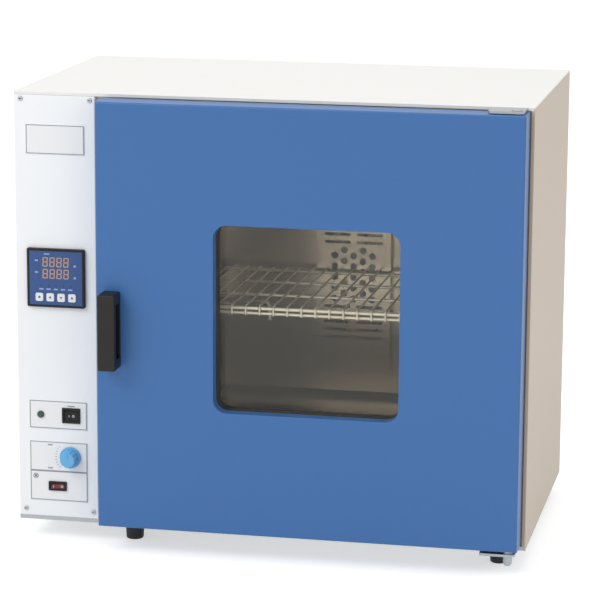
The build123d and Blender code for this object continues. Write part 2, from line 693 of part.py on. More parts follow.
# Duct plate: rear wall of the chamber, with a raised middle, intake holes and air slots
duct_width = CHAMBER_WIDTH - 2 * DUCT_FIT
duct_height = CHAMBER_HEIGHT - 2 * DUCT_FIT
with BuildPart() as duct_plate:
    with BuildSketch(upright(duct_front + LINER_SHEET)):
        with Locations((chamber_x, chamber_z)):
            Rectangle(duct_width, duct_height - 2 * LINER_CORNER)
    extrude(amount=LINER_SHEET)
    with BuildSketch(upright(duct_front)):
        with Locations((chamber_x, chamber_z)):
            Rectangle(BULGE_WIDTH, BULGE_HEIGHT)
    extrude(amount=BULGE_DEPTH)
    with BuildSketch(upright(duct_front + LINER_SHEET)):
        with Locations((chamber_x, chamber_z)):
            Rectangle(BULGE_WIDTH - 2 * LINER_SHEET, BULGE_HEIGHT - 2 * LINER_SHEET)
    extrude(amount=BULGE_DEPTH, mode=Mode.SUBTRACT)
    for side in (-1, 1):
        edge_x = chamber_x + side * (duct_width / 2 - LINER_SHEET / 2)
        half = LINER_SHEET / 2
        level = duct_height / 2 - LINER_CORNER
        box_between((edge_x - half, duct_front, chamber_z - level),
                    (edge_x + half, liner_back - LINER_SHEET, chamber_z + level))
    with BuildSketch(upright(bulge_front + LINER_SHEET)):
        with Locations((chamber_x, chamber_z)):
            with HexLocations(INTAKE_PITCH / 2, INTAKE_ROWS, INTAKE_ROWS):
                Circle(INTAKE_HOLE_RADIUS)
        for side in (-1, 1):
            slot_middle = SLOT_FIRST + SLOT_PITCH * (SLOT_ROWS - 1) / 2
            with Locations((chamber_x, chamber_z + side * slot_middle)):
                with GridLocations(SLOT_COLUMN_PITCH, SLOT_PITCH, 2, SLOT_ROWS):
                    SlotOverall(SLOT_LENGTH, SLOT_WIDTH)
    extrude(amount=LINER_SHEET, mode=Mode.SUBTRACT)
duct_plate.part.label = "duct_plate"
export_step(duct_plate.part, "parts/duct_plate.step")

# Shelf runners: an angle on each side wall that the shelf's rim rests on
with BuildPart() as shelf_runners:
    for side in (-1, 1):
        wall_x = chamber_x + side * CHAMBER_WIDTH / 2
        with BuildSketch(upright(duct_front - RUNNER_END_GAP)):
            with BuildLine():
                Polyline(
                    (wall_x, runner_top - RUNNER_HEIGHT),
                    (wall_x - side * RUNNER_SHEET, runner_top - RUNNER_HEIGHT),
                    (wall_x - side * RUNNER_SHEET, runner_top - RUNNER_SHEET),
                    (wall_x - side * RUNNER_WIDTH, runner_top - RUNNER_SHEET),
                    (wall_x - side * RUNNER_WIDTH, runner_top),
                    (wall_x, runner_top),
                    close=True,
                )
            make_face()
        extrude(amount=duct_front - RUNNER_END_GAP - shelf_front)
shelf_runners.part.label = "shelf_runners"
export_step(shelf_runners.part, "parts/shelf_runners.step")

# Wire shelf: a rim of thick wire, cross wires under the grid, and grid wires bent down round the rim
shelf_width = CHAMBER_WIDTH - 2 * SHELF_SIDE_GAP - RIM_WIRE
shelf_depth = shelf_back - shelf_front
half_width = shelf_width / 2
grid_count = int(shelf_width / GRID_PITCH)
grid_xs = [chamber_x + (i - (grid_count - 1) / 2) * GRID_PITCH for i in range(grid_count)]
cross_ys = [shelf_front + shelf_depth * (i + 1) / (CROSS_WIRES + 1) for i in range(CROSS_WIRES)]
cross_z = grid_z - (GRID_WIRE + CROSS_WIRE) / 2 - WIRE_GAP
cross_inset = RIM_WIRE / 2 + WIRE_GAP
front_wire_y = shelf_front - wire_bend
low_wire_y = front_wire_y + (GRID_WIRE + CROSS_WIRE) / 2 + WIRE_GAP
with BuildPart() as wire_shelf:
    with BuildSketch(sideways(chamber_x - half_width + RIM_BEND)):
        with Locations((shelf_front, rim_z), (shelf_back, rim_z)):
            Circle(RIM_WIRE / 2)
    extrude(amount=shelf_width - 2 * RIM_BEND)
    with BuildSketch(upright(shelf_back - RIM_BEND)):
        with Locations((chamber_x - half_width, rim_z), (chamber_x + half_width, rim_z)):
            Circle(RIM_WIRE / 2)
    extrude(amount=shelf_depth - 2 * RIM_BEND)
    for turn, x_side, y_side in ((0, 1, 1), (90, -1, 1), (180, -1, -1), (270, 1, -1)):
        bend_x = chamber_x + x_side * (half_width - RIM_BEND)
        bend_y = (shelf_front + shelf_back) / 2 + y_side * (shelf_depth / 2 - RIM_BEND)
        with Locations((bend_x, bend_y, rim_z)):
            Torus(RIM_BEND, RIM_WIRE / 2, major_angle=90, rotation=(0, 0, turn),
                  align=(Align.NONE, Align.NONE, Align.NONE))
    with BuildSketch(sideways(chamber_x - half_width + RIM_WIRE)):
        with Locations((low_wire_y, rim_z - RIM_DROP)):
            Circle(CROSS_WIRE / 2)
    extrude(amount=shelf_width - 2 * RIM_WIRE)
    with BuildSketch(sideways(chamber_x - half_width + cross_inset)):
        with Locations(*[(y, cross_z) for y in cross_ys]):
            Circle(CROSS_WIRE / 2)
    extrude(amount=shelf_width - 2 * cross_inset)
    with BuildSketch(upright(shelf_back + RIM_WIRE / 2)):
        with Locations(*[(x, grid_z) for x in grid_xs]):
            Circle(GRID_WIRE / 2)
    extrude(amount=shelf_depth + RIM_WIRE / 2)
    with BuildSketch(upright(shelf_front)):
        with Locations(*[(x, grid_z) for x in grid_xs]):
            Circle(GRID_WIRE / 2)
    revolve(axis=Axis((chamber_x, shelf_front, rim_z), (1, 0, 0)), revolution_arc=90)
    with BuildSketch(Plane.XY.offset(rim_z)):
        with Locations(*[(x, front_wire_y) for x in grid_xs]):
            Circle(GRID_WIRE / 2)
    extrude(amount=-(RIM_DROP + CROSS_WIRE / 2))
wire_shelf.part.label = "wire_shelf"
export_step(wire_shelf.part, "parts/wire_shelf.step")

# Heater: a round loop of sheathed element about the fan, with its two sleeved ends through the rear wall
with BuildPart() as heater_element:
    with BuildSketch(Plane(origin=(heater_ends[1][0], heater_y, heater_ends[1][1]),
                           x_dir=(heater_tail_x, 0, -heater_tail_z), z_dir=(heater_tail_z, 0, heater_tail_x))):
        Circle(HEATER_TUBE)
    revolve(axis=Axis((chamber_x, heater_y, chamber_z), (0, -1, 0)),
            revolution_arc=360 - HEATER_GAP_ANGLE)
    with BuildSketch(upright(heater_y - HEATER_SLEEVE_END)):
        with Locations(*heater_ends):
            Circle(HEATER_SLEEVE_RADIUS)
    extrude(amount=-(HEATER_SLEEVE_END + liner_back - heater_y + HEATER_TAIL))
heater_element.part.label = "heater_element"
export_step(heater_element.part, "parts/heater_element.step")

# Fan wheel: hub, back disc and radial blades with swept outer ends
fan_back = liner_back - LINER_SHEET - FAN_BACK_GAP
blade_arc = CenterArc((BLADE_INNER_RADIUS, BLADE_SWEEP_RADIUS), BLADE_SWEEP_RADIUS, -90, BLADE_SWEEP)
with BuildPart() as fan_wheel:
    with BuildSketch(upright(fan_back)):
        with Locations((chamber_x, chamber_z)):
            Circle(FAN_RADIUS)
    extrude(amount=FAN_DISC)
    with BuildSketch(upright(fan_back)):
        with Locations((chamber_x, chamber_z)):
            Circle(FAN_HUB_RADIUS)
    extrude(amount=fan_width)
    with BuildSketch(upright(fan_back)):
        with Locations((chamber_x, chamber_z)):
            with PolarLocations(0, FAN_BLADES):
                SlotArc(blade_arc, BLADE_THICKNESS)
    extrude(amount=fan_width)
    with BuildSketch(upright(fan_back)):
        with Locations((chamber_x, chamber_z)):
            Circle(SHAFT_RADIUS + SHAFT_CLEARANCE)
    extrude(amount=fan_width, mode=Mode.SUBTRACT)
fan_wheel.part.label = "fan_wheel"
export_step(fan_wheel.part, "parts/fan_wheel.step")

# Motor shaft, from inside the motor to the front of the fan hub
motor_front = insulation_back + MOTOR_GAP
motor_back = motor_front + MOTOR_LENGTH
with BuildPart() as motor_shaft:
    with BuildSketch(upright(motor_back - MOTOR_EDGE_RADIUS)):
        with Locations((chamber_x, chamber_z)):
            Circle(SHAFT_RADIUS)
    extrude(amount=motor_back - MOTOR_EDGE_RADIUS - fan_back + fan_width)
motor_shaft.part.label = "motor_shaft"
export_step(motor_shaft.part, "parts/motor_shaft.step")

# Fan motor: round body with a nose bearing, and a flange inside the back panel
with BuildPart() as fan_motor:
    with BuildSketch(upright(motor_back)):
        with Locations((chamber_x, chamber_z)):
            Circle(MOTOR_RADIUS)
    extrude(amount=MOTOR_LENGTH)
    fillet(fan_motor.edges().filter_by(GeomType.CIRCLE), MOTOR_EDGE_RADIUS)
    with BuildSketch(upright(back_y - SHEET)):
        with Locations((chamber_x, chamber_z)):
            Circle(MOTOR_FLANGE_RADIUS)
    extrude(amount=MOTOR_FLANGE)
    with BuildSketch(upright(motor_front)):
        with Locations((chamber_x, chamber_z)):
            Circle(MOTOR_NOSE_RADIUS)
    extrude(amount=MOTOR_NOSE_LENGTH)
    with BuildSketch(upright(motor_back)):
        with Locations((chamber_x, chamber_z)):
            Circle(SHAFT_RADIUS + SHAFT_CLEARANCE)
    extrude(amount=MOTOR_LENGTH + MOTOR_NOSE_LENGTH, mode=Mode.SUBTRACT)
fan_motor.part.label = "fan_motor"
export_step(fan_motor.part, "parts/fan_motor.step")

# Motor cover: slotted sheet box with a fixing flange, on the back panel
with BuildPart() as motor_cover:
    with BuildSketch(upright(back_y)):
        with Locations((chamber_x, chamber_z)):
            RectangleRounded(COVER_SIZE, COVER_SIZE, COVER_CORNER)
    extrude(amount=-cover_depth)
    fillet(motor_cover.faces().sort_by(Axis.Y)[-1].edges(), HEM_RADIUS)
    with BuildSketch(upright(back_y)):
        with Locations((chamber_x, chamber_z)):
            RectangleRounded(COVER_SIZE + 2 * COVER_FLANGE, COVER_SIZE + 2 * COVER_FLANGE, COVER_CORNER)
    extrude(amount=-SHEET)
    with BuildSketch(upright(back_y)):
        with Locations((chamber_x, chamber_z)):
            RectangleRounded(COVER_SIZE - 2 * SHEET, COVER_SIZE - 2 * SHEET, COVER_CORNER - SHEET)
    extrude(amount=-(cover_depth - SHEET), mode=Mode.SUBTRACT)
    with BuildSketch(upright(back_y + cover_depth)):
        with Locations((chamber_x, chamber_z)):
            with GridLocations(COVER_SLOT_LENGTH + COVER_SLOT_PITCH, COVER_SLOT_PITCH,
                               COVER_SLOT_COLUMNS, COVER_SLOT_ROWS):
                SlotOverall(COVER_SLOT_LENGTH, COVER_SLOT_WIDTH)
    extrude(amount=SHEET, mode=Mode.SUBTRACT)
    with BuildSketch(upright(back_y)):
        with Locations((chamber_x, chamber_z)):
            with GridLocations(cover_screw_pitch, cover_screw_pitch, 2, 2):
                Circle(SCREW_RADIUS + SCREW_FIT)
    extrude(amount=-SHEET, mode=Mode.SUBTRACT)
motor_cover.part.label = "motor_cover"
export_step(motor_cover.part, "parts/motor_cover.step")

# Temperature probe: a thin tube from the control compartment, turned down under the shelf
probe_start = panel_right - PROBE_TAIL
probe_end = chamber_left + PROBE_REACH
with BuildPart() as temperature_probe:
    with BuildLine(Plane.XZ.offset(-probe_y)):
        FilletPolyline((probe_start, probe_z), (probe_end, probe_z), (probe_end, probe_z - PROBE_DROP),
                       radius=PROBE_BEND)
    with BuildSketch(sideways(probe_start)):
        with Locations((probe_y, probe_z)):
            Circle(PROBE_RADIUS)
    sweep()
    fillet(temperature_probe.faces().sort_by(Axis.Z)[0].edges(), PROBE_RADIUS / 2)
temperature_probe.part.label = "temperature_probe"
export_step(temperature_probe.part, "parts/temperature_probe.step")

# Control panel: folded tray over the control compartment, with the openings of its fittings
panel_x = (case_left + panel_right) / 2
panel_z = (panel_bottom + panel_top) / 2
panel_height = panel_top - panel_bottom
return_left = case_left + SHEET + SEAM
return_x = (return_left + panel_right) / 2
return_width = panel_right - return_left
panel_screw_places = [
    (x, z)
    for x in (case_left + SCREW_SIDE_INSET, panel_right - SCREW_RIGHT_INSET)
    for z in (panel_bottom + SCREW_BOTTOM_INSET, panel_top - SCREW_TOP_INSET)
]
power_opening = (POWER_SWITCH_WIDTH - 2 * SWITCH_STEP + CUTOUT_FIT,
                 POWER_SWITCH_HEIGHT - 2 * SWITCH_STEP + CUTOUT_FIT)
fan_opening = (FAN_SWITCH_WIDTH - 2 * SWITCH_STEP + CUTOUT_FIT,
               FAN_SWITCH_HEIGHT - 2 * SWITCH_STEP + CUTOUT_FIT)
with BuildPart() as control_panel:
    with BuildSketch(upright(front_y + PANEL_SHEET)):
        with Locations((panel_x, panel_z)):
            Rectangle(panel_width, panel_height)
    extrude(amount=PANEL_SHEET)
    fillet(control_panel.faces().sort_by(Axis.Y)[0].edges(), PANEL_EDGE_RADIUS)
    with BuildSketch(upright(front_y + PANEL_SHEET)):
        with Locations((return_x, panel_z)):
            Rectangle(return_width, panel_height)
            Rectangle(return_width - 2 * PANEL_SHEET, panel_height - 2 * PANEL_SHEET, mode=Mode.SUBTRACT)
    extrude(amount=PANEL_SHEET - PANEL_RETURN)
    with BuildSketch(upright(front_y + PANEL_SHEET)):
        with Locations((plate_x, bezel_z)):
            Rectangle(body_size + CUTOUT_FIT, body_size + CUTOUT_FIT)
        with Locations((lamp_x, power_z)):
            Circle(LAMP_BODY_RADIUS + CUTOUT_FIT)
        with Locations((power_switch_x, power_z)):
            Rectangle(*power_opening)
        with Locations((damper_x, damper_z)):
            Circle(ROD_RADIUS + ROD_CLEARANCE)
        with Locations((fan_switch_x, fan_switch_z)):
            Rectangle(*fan_opening)
        with Locations(*panel_screw_places):
            Circle(SCREW_RADIUS + SCREW_FIT)
    extrude(amount=PANEL_SHEET, mode=Mode.SUBTRACT)
control_panel.part.label = "control_panel"
export_step(control_panel.part, "parts/control_panel.step")

# Panel rails: an angle on the side panel and one on the partition, which the panel is screwed to
rail_front = front_y + PANEL_RETURN + SEAM
rail_back = rail_front + RAIL_DEPTH
with BuildPart() as panel_rails:
    for wall, side in ((case_left + SHEET, 1), (panel_right, -1)):
        inner = plate_x - side * (body_size / 2 + RAIL_FIT)
        box_between((min(wall, inner), rail_front, panel_bottom),
                    (max(wall, inner), rail_front + SHEET, panel_top))
        box_between((min(wall, wall + side * SHEET), rail_front, panel_bottom),
                    (max(wall, wall + side * SHEET), rail_back, panel_top))
    with BuildSketch(upright(rail_front + SHEET)):
        with Locations(*panel_screw_places):
            Circle(SCREW_RADIUS + SCREW_FIT)
    extrude(amount=SHEET, mode=Mode.SUBTRACT)
panel_rails.part.label = "panel_rails"
export_step(panel_rails.part, "parts/panel_rails.step")

# Panel screws: long pan-head screws through the tray into the rails
with BuildPart() as panel_screws:
    with BuildSketch(upright(front_y)):
        with Locations(*panel_screw_places):
            Circle(SCREW_HEAD_RADIUS)
    extrude(amount=SCREW_HEAD_HEIGHT)
    fillet(panel_screws.faces().group_by(Axis.Y)[0].edges(), SCREW_HEAD_HEIGHT / 2)
    with BuildSketch(upright(front_y)):
        with Locations(*panel_screw_places):
            Circle(SCREW_RADIUS)
    extrude(amount=front_y - rail_front - SHEET - SCREW_TAIL)
panel_screws.part.label = "panel_screws"
export_step(panel_screws.part, "parts/panel_screws.step")

# Cover screws: short pan-head screws that hold the motor cover on the back panel
with BuildPart() as cover_screws:
    with BuildSketch(upright(back_y + SHEET)):
        with Locations((chamber_x, chamber_z)):
            with GridLocations(cover_screw_pitch, cover_screw_pitch, 2, 2):
                Circle(SCREW_HEAD_RADIUS)
    extrude(amount=-SCREW_HEAD_HEIGHT)
    fillet(cover_screws.faces().group_by(Axis.Y)[-1].edges(), SCREW_HEAD_HEIGHT / 2)
    with BuildSketch(upright(back_y + SHEET)):
        with Locations((chamber_x, chamber_z)):
            with GridLocations(cover_screw_pitch, cover_screw_pitch, 2, 2):
                Circle(SCREW_RADIUS)
    extrude(amount=SCREW_GRIP)
cover_screws.part.label = "cover_screws"
export_step(cover_screws.part, "parts/cover_screws.step")

# Controller housing: square bezel on the panel and a body behind it, with wells for the keys
key_places = [
    (plate_x + (i - (len(KEY_NAMES) - 1) / 2) * KEY_PITCH, bezel_bottom + KEY_LEVEL)
    for i in range(len(KEY_NAMES))
]
flange_front = face_back + KEY_GAP
flange_back = flange_front + KEY_FLANGE_THICKNESS
pocket_back = flange_back + KEY_TRAVEL + KEY_GAP
well_back = pocket_back + KEY_WELL
body_back = front_y + BODY_DEPTH
with BuildPart() as controller_housing:
    with BuildSketch(upright(front_y)):
        with Locations((plate_x, bezel_z)):
            RectangleRounded(BEZEL_SIZE, BEZEL_SIZE, BEZEL_RADIUS)
    extrude(amount=BEZEL_RISE)
    fillet(controller_housing.faces().sort_by(Axis.Y)[0].edges(), BEZEL_RADIUS / 2)
    with BuildSketch(upright(body_back)):
        with Locations((plate_x, bezel_z)):
            Rectangle(body_size, body_size)
    extrude(amount=BODY_DEPTH)
    with BuildSketch(upright(face_back)):
        with Locations((plate_x, bezel_z)):
            Rectangle(face_size + DISPLAY_FIT, face_size + DISPLAY_FIT)
    extrude(amount=BEZEL_RISE, mode=Mode.SUBTRACT)
    with BuildSketch(upright(pocket_back)):
        with Locations(*key_places):
            Rectangle(KEY_WIDTH + 2 * (KEY_FLANGE + KEY_GAP), KEY_HEIGHT + 2 * (KEY_FLANGE + KEY_GAP))
    extrude(amount=pocket_back - face_back, mode=Mode.SUBTRACT)
    with BuildSketch(upright(well_back)):
        with Locations(*key_places):
            Circle(KEY_STEM_RADIUS + KEY_GUIDE)
    extrude(amount=KEY_WELL, mode=Mode.SUBTRACT)
    with BuildSketch(upright(body_back)):
        with Locations((plate_x, bezel_z)):
            Rectangle(body_size - 2 * BODY_WALL, body_size - 2 * BODY_WALL)
    extrude(amount=body_back - well_back - DECK, mode=Mode.SUBTRACT)
controller_housing.part.label = "controller_housing"
export_step(controller_housing.part, "parts/controller_housing.step")

# Controller face: blue film plate with openings for the display, the status lamps and the keys
led_places = [
    (plate_x + (i - (LED_COUNT - 1) / 2) * LED_PITCH, bezel_bottom + LED_LEVEL)
    for i in range(LED_COUNT)
]
with BuildPart() as controller_face:
    with BuildSketch(upright(face_back)):
        with Locations((plate_x, bezel_z)):
            Rectangle(face_size, face_size)
        with Locations((plate_x, display_z)):
            Rectangle(display_width + DISPLAY_FIT, display_height + DISPLAY_FIT, mode=Mode.SUBTRACT)
        with Locations(*led_places):
            Circle(LED_RADIUS + DISPLAY_FIT, mode=Mode.SUBTRACT)
        with Locations(*key_places):
            RectangleRounded(KEY_WIDTH + 2 * KEY_GAP, KEY_HEIGHT + 2 * KEY_GAP, KEY_RADIUS + KEY_GAP,
                             mode=Mode.SUBTRACT)
    extrude(amount=FACE_THICKNESS)
controller_face.part.label = "controller_face"
export_step(controller_face.part, "parts/controller_face.step")

# Display lens: smoked window in the face, over both rows of digits
with BuildPart() as display_lens:
    with BuildSketch(upright(face_back)):
        with Locations((plate_x, display_z)):
            Rectangle(display_width, display_height)
    extrude(amount=FACE_THICKNESS - LENS_SINK)
display_lens.part.label = "display_lens"
export_step(display_lens.part, "parts/display_lens.step")

# Status lamps: small round lamps in a row between the display and the keys
with BuildPart() as status_lamps:
    with BuildSketch(upright(face_back)):
        with Locations(*led_places):
            Circle(LED_RADIUS)
    extrude(amount=FACE_THICKNESS + LED_RISE)
    fillet(status_lamps.faces().group_by(Axis.Y)[0].edges(), LED_RISE)
status_lamps.part.label = "status_lamps"
export_step(status_lamps.part, "parts/status_lamps.step")

# Keys: rounded caps with a retaining flange behind the face and a round stem in the housing
for key_name, key_place in zip(KEY_NAMES, key_places):
    with BuildPart() as key:
        with BuildSketch(upright(flange_front)):
            with Locations(key_place):
                RectangleRounded(KEY_WIDTH, KEY_HEIGHT, KEY_RADIUS)
        extrude(amount=flange_front - face_front + KEY_RISE)
        fillet(key.faces().sort_by(Axis.Y)[0].edges(), KEY_EDGE_RADIUS)
        with BuildSketch(upright(flange_back)):
            with Locations(key_place):
                Rectangle(KEY_WIDTH + 2 * KEY_FLANGE, KEY_HEIGHT + 2 * KEY_FLANGE)
        extrude(amount=KEY_FLANGE_THICKNESS)
        with BuildSketch(upright(well_back - KEY_TRAVEL - KEY_GAP)):
            with Locations(key_place):
                Circle(KEY_STEM_RADIUS)
        extrude(amount=well_back - KEY_TRAVEL - KEY_GAP - flange_back)
    key.part.label = f"key_{key_name}"
    export_step(key.part, f"parts/key_{key_name}.step")

# Thin plates on the panel: the bare nameplate, and the plates of the power, damper and fan controls
with BuildPart() as blank_plate:
    with BuildSketch(upright(front_y)):
        with Locations((plate_x, case_top - NAME_PLATE_DROP)):
            RectangleRounded(PLATE_WIDTH, NAME_PLATE_HEIGHT, PLATE_RADIUS)
    extrude(amount=PLATE_THICKNESS)
blank_plate.part.label = "blank_plate"
export_step(blank_plate.part, "parts/blank_plate.step")

with BuildPart() as power_plate:
    with BuildSketch(upright(front_y)):
        with Locations((plate_x, power_z)):
            RectangleRounded(PLATE_WIDTH, POWER_PLATE_HEIGHT, PLATE_RADIUS)
        with Locations((lamp_x, power_z)):
            Circle(LAMP_BODY_RADIUS + CUTOUT_FIT, mode=Mode.SUBTRACT)
        with Locations((power_switch_x, power_z)):
            Rectangle(*power_opening, mode=Mode.SUBTRACT)
    extrude(amount=PLATE_THICKNESS)
power_plate.part.label = "power_plate"
export_step(power_plate.part, "parts/power_plate.step")

with BuildPart() as damper_plate:
    with BuildSketch(upright(front_y)):
        with Locations((plate_x, damper_z)):
            RectangleRounded(PLATE_WIDTH, DAMPER_PLATE_HEIGHT, PLATE_RADIUS)
        with Locations((damper_x, damper_z)):
            Circle(ROD_RADIUS + ROD_CLEARANCE, mode=Mode.SUBTRACT)
    extrude(amount=PLATE_THICKNESS)
damper_plate.part.label = "damper_plate"
export_step(damper_plate.part, "parts/damper_plate.step")

with BuildPart() as fan_plate:
    with BuildSketch(upright(front_y)):
        with Locations((plate_x, fan_switch_z)):
            RectangleRounded(PLATE_WIDTH, FAN_PLATE_HEIGHT, PLATE_RADIUS)
        with Locations((fan_switch_x, fan_switch_z)):
            Rectangle(*fan_opening, mode=Mode.SUBTRACT)
    extrude(amount=PLATE_THICKNESS)
fan_plate.part.label = "fan_plate"
export_step(fan_plate.part, "parts/fan_plate.step")

# Power switch: housing with a bezel on the plate and blind holes for the pivots of its rocker
switch_front = plate_front - SWITCH_BEZEL_RISE
switch_back = plate_front + SWITCH_BODY_DEPTH
pivot_y = switch_front + PIVOT_DEPTH
wall_total = SWITCH_STEP + SWITCH_WALL
pivot_hole = PIVOT_LENGTH - ROCKER_SIDE_GAP + PIVOT_END_GAP
power_room = POWER_SWITCH_HEIGHT - 2 * wall_total
with BuildPart() as power_switch_housing:
    with BuildSketch(upright(plate_front)):
        with Locations((power_switch_x, power_z)):
            RectangleRounded(POWER_SWITCH_WIDTH, POWER_SWITCH_HEIGHT, SWITCH_CORNER)
    extrude(amount=SWITCH_BEZEL_RISE)
    fillet(power_switch_housing.faces().sort_by(Axis.Y)[0].edges(), SWITCH_CORNER / 2)
    with BuildSketch(upright(switch_back)):
        with Locations((power_switch_x, power_z)):
            Rectangle(POWER_SWITCH_WIDTH - 2 * SWITCH_STEP, POWER_SWITCH_HEIGHT - 2 * SWITCH_STEP)
    extrude(amount=SWITCH_BODY_DEPTH)
    with BuildSketch(upright(pivot_y + ROCKER_ROOM)):
        with Locations((power_switch_x, power_z)):
            Rectangle(power_rocker_length + 2 * ROCKER_END_GAP, power_room)
    extrude(amount=ROCKER_ROOM + PIVOT_DEPTH, mode=Mode.SUBTRACT)
    with BuildSketch(Plane.XY.offset(power_z)):
        with Locations((power_switch_x, pivot_y)):
            Circle(PIVOT_RADIUS + PIVOT_CLEARANCE)
    extrude(amount=power_room / 2 + pivot_hole, both=True, mode=Mode.SUBTRACT)
power_switch_housing.part.label = "power_switch_housing"
export_step(power_switch_housing.part, "parts/power_switch_housing.step")

# Fan switch: the same kind of housing, lower and narrower
fan_room = FAN_SWITCH_HEIGHT - 2 * wall_total
with BuildPart() as fan_switch_housing:
    with BuildSketch(upright(plate_front)):
        with Locations((fan_switch_x, fan_switch_z)):
            RectangleRounded(FAN_SWITCH_WIDTH, FAN_SWITCH_HEIGHT, SWITCH_CORNER)
    extrude(amount=SWITCH_BEZEL_RISE)
    fillet(fan_switch_housing.faces().sort_by(Axis.Y)[0].edges(), SWITCH_CORNER / 2)
    with BuildSketch(upright(switch_back)):
        with Locations((fan_switch_x, fan_switch_z)):
            Rectangle(FAN_SWITCH_WIDTH - 2 * SWITCH_STEP, FAN_SWITCH_HEIGHT - 2 * SWITCH_STEP)
    extrude(amount=SWITCH_BODY_DEPTH)
    with BuildSketch(upright(pivot_y + ROCKER_ROOM)):
        with Locations((fan_switch_x, fan_switch_z)):
            Rectangle(fan_rocker_length + 2 * ROCKER_END_GAP, fan_room)
    extrude(amount=ROCKER_ROOM + PIVOT_DEPTH, mode=Mode.SUBTRACT)
    with BuildSketch(Plane.XY.offset(fan_switch_z)):
        with Locations((fan_switch_x, pivot_y)):
            Circle(PIVOT_RADIUS + PIVOT_CLEARANCE)
    extrude(amount=fan_room / 2 + pivot_hole, both=True, mode=Mode.SUBTRACT)
fan_switch_housing.part.label = "fan_switch_housing"
export_step(fan_switch_housing.part, "parts/fan_switch_housing.step")

# Rockers: shallow V fronts on vertical pivots, shown switched off with the right end pressed in
tilt = math.radians(ROCKER_TILT)
rocker_x_dir = (math.cos(tilt), math.sin(tilt), 0)
power_half = power_rocker_length / 2
power_rise = PIVOT_DEPTH + power_half * math.tan(tilt)
with BuildPart() as power_rocker:
    with BuildSketch(Plane((power_switch_x, pivot_y, power_z), rocker_x_dir, (0, 0, 1))):
        with BuildLine():
            Polyline(
                (-power_half, -power_rise),
                (0, -PIVOT_DEPTH),
                (power_half, -power_rise),
                (power_half - ROCKER_TAPER, ROCKER_SHOULDER),
                (0, ROCKER_BACK),
                (ROCKER_TAPER - power_half, ROCKER_SHOULDER),
                close=True,
            )
        make_face()
    extrude(amount=power_room / 2 - ROCKER_SIDE_GAP, both=True)
    with BuildSketch(Plane.XY.offset(power_z)):
        with Locations((power_switch_x, pivot_y)):
            Circle(PIVOT_RADIUS)
    extrude(amount=power_room / 2 - ROCKER_SIDE_GAP + PIVOT_LENGTH, both=True)
power_rocker.part.label = "power_rocker"
export_step(power_rocker.part, "parts/power_rocker.step")

fan_half = fan_rocker_length / 2
fan_rise = PIVOT_DEPTH + fan_half * math.tan(tilt)
with BuildPart() as fan_rocker:
    with BuildSketch(Plane((fan_switch_x, pivot_y, fan_switch_z), rocker_x_dir, (0, 0, 1))):
        with BuildLine():
            Polyline(
                (-fan_half, -fan_rise),
                (0, -PIVOT_DEPTH),
                (fan_half, -fan_rise),
                (fan_half - ROCKER_TAPER, ROCKER_SHOULDER),
                (0, ROCKER_BACK),
                (ROCKER_TAPER - fan_half, ROCKER_SHOULDER),
                close=True,
            )
        make_face()
    extrude(amount=fan_room / 2 - ROCKER_SIDE_GAP, both=True)
    with BuildSketch(Plane.XY.offset(fan_switch_z)):
        with Locations((fan_switch_x, pivot_y)):
            Circle(PIVOT_RADIUS)
    extrude(amount=fan_room / 2 - ROCKER_SIDE_GAP + PIVOT_LENGTH, both=True)
fan_rocker.part.label = "fan_rocker"
export_step(fan_rocker.part, "parts/fan_rocker.step")

# Pilot lamp: domed green lens on the plate, with its body behind the panel
with BuildPart() as pilot_lamp:
    with BuildSketch(upright(plate_front)):
        with Locations((lamp_x, power_z)):
            Circle(LAMP_RADIUS)
    extrude(amount=LAMP_RISE)
    fillet(pilot_lamp.faces().sort_by(Axis.Y)[0].edges(), LAMP_DOME_RADIUS)
    with BuildSketch(upright(plate_front)):
        with Locations((lamp_x, power_z)):
            Circle(LAMP_BODY_RADIUS)
    extrude(amount=-LAMP_BODY_LENGTH)
pilot_lamp.part.label = "pilot_lamp"
export_step(pilot_lamp.part, "parts/pilot_lamp.step")

# Damper knob: round skirt and fluted tapering grip with a raised pointer
knob_back = plate_front - KNOB_GAP
knob_front = knob_back - KNOB_HEIGHT
grip_height = KNOB_HEIGHT - KNOB_SKIRT
grip_taper = math.degrees(math.atan((KNOB_GRIP_RADIUS - KNOB_TIP_RADIUS) / grip_height))
with BuildPart() as damper_knob:
    with BuildSketch(upright(knob_back)):
        with Locations((damper_x, damper_z)):
            Circle(KNOB_RADIUS)
    extrude(amount=KNOB_SKIRT)
    fillet(damper_knob.faces().sort_by(Axis.Y)[0].edges(), KNOB_EDGE_RADIUS)
    with BuildSketch(upright(knob_back - KNOB_SKIRT)):
        with Locations((damper_x, damper_z)):
            Circle(KNOB_GRIP_RADIUS)
            with PolarLocations(KNOB_GRIP_RADIUS + FLUTE_RADIUS / 2, FLUTE_COUNT):
                Circle(FLUTE_RADIUS, mode=Mode.SUBTRACT)
    extrude(amount=grip_height, taper=grip_taper)
    with BuildSketch(upright(knob_front)):
        with Locations((damper_x, damper_z + KNOB_TIP_RADIUS / 2)):
            Rectangle(POINTER_WIDTH, POINTER_LENGTH)
    extrude(amount=POINTER_RISE)
    with BuildSketch(upright(knob_back)):
        with Locations((damper_x, damper_z)):
            Circle(ROD_RADIUS + SHAFT_CLEARANCE)
    extrude(amount=grip_height, mode=Mode.SUBTRACT)
damper_knob.part.label = "damper_knob"
export_step(damper_knob.part, "parts/damper_knob.step")

# Damper rod: from the knob through the control compartment to the back panel
with BuildPart() as damper_rod:
    with BuildSketch(upright(back_y)):
        with Locations((damper_x, damper_z)):
            Circle(ROD_RADIUS)
    extrude(amount=back_y - knob_back + grip_height - KNOB_GAP)
damper_rod.part.label = "damper_rod"
export_step(damper_rod.part, "parts/damper_rod.step")

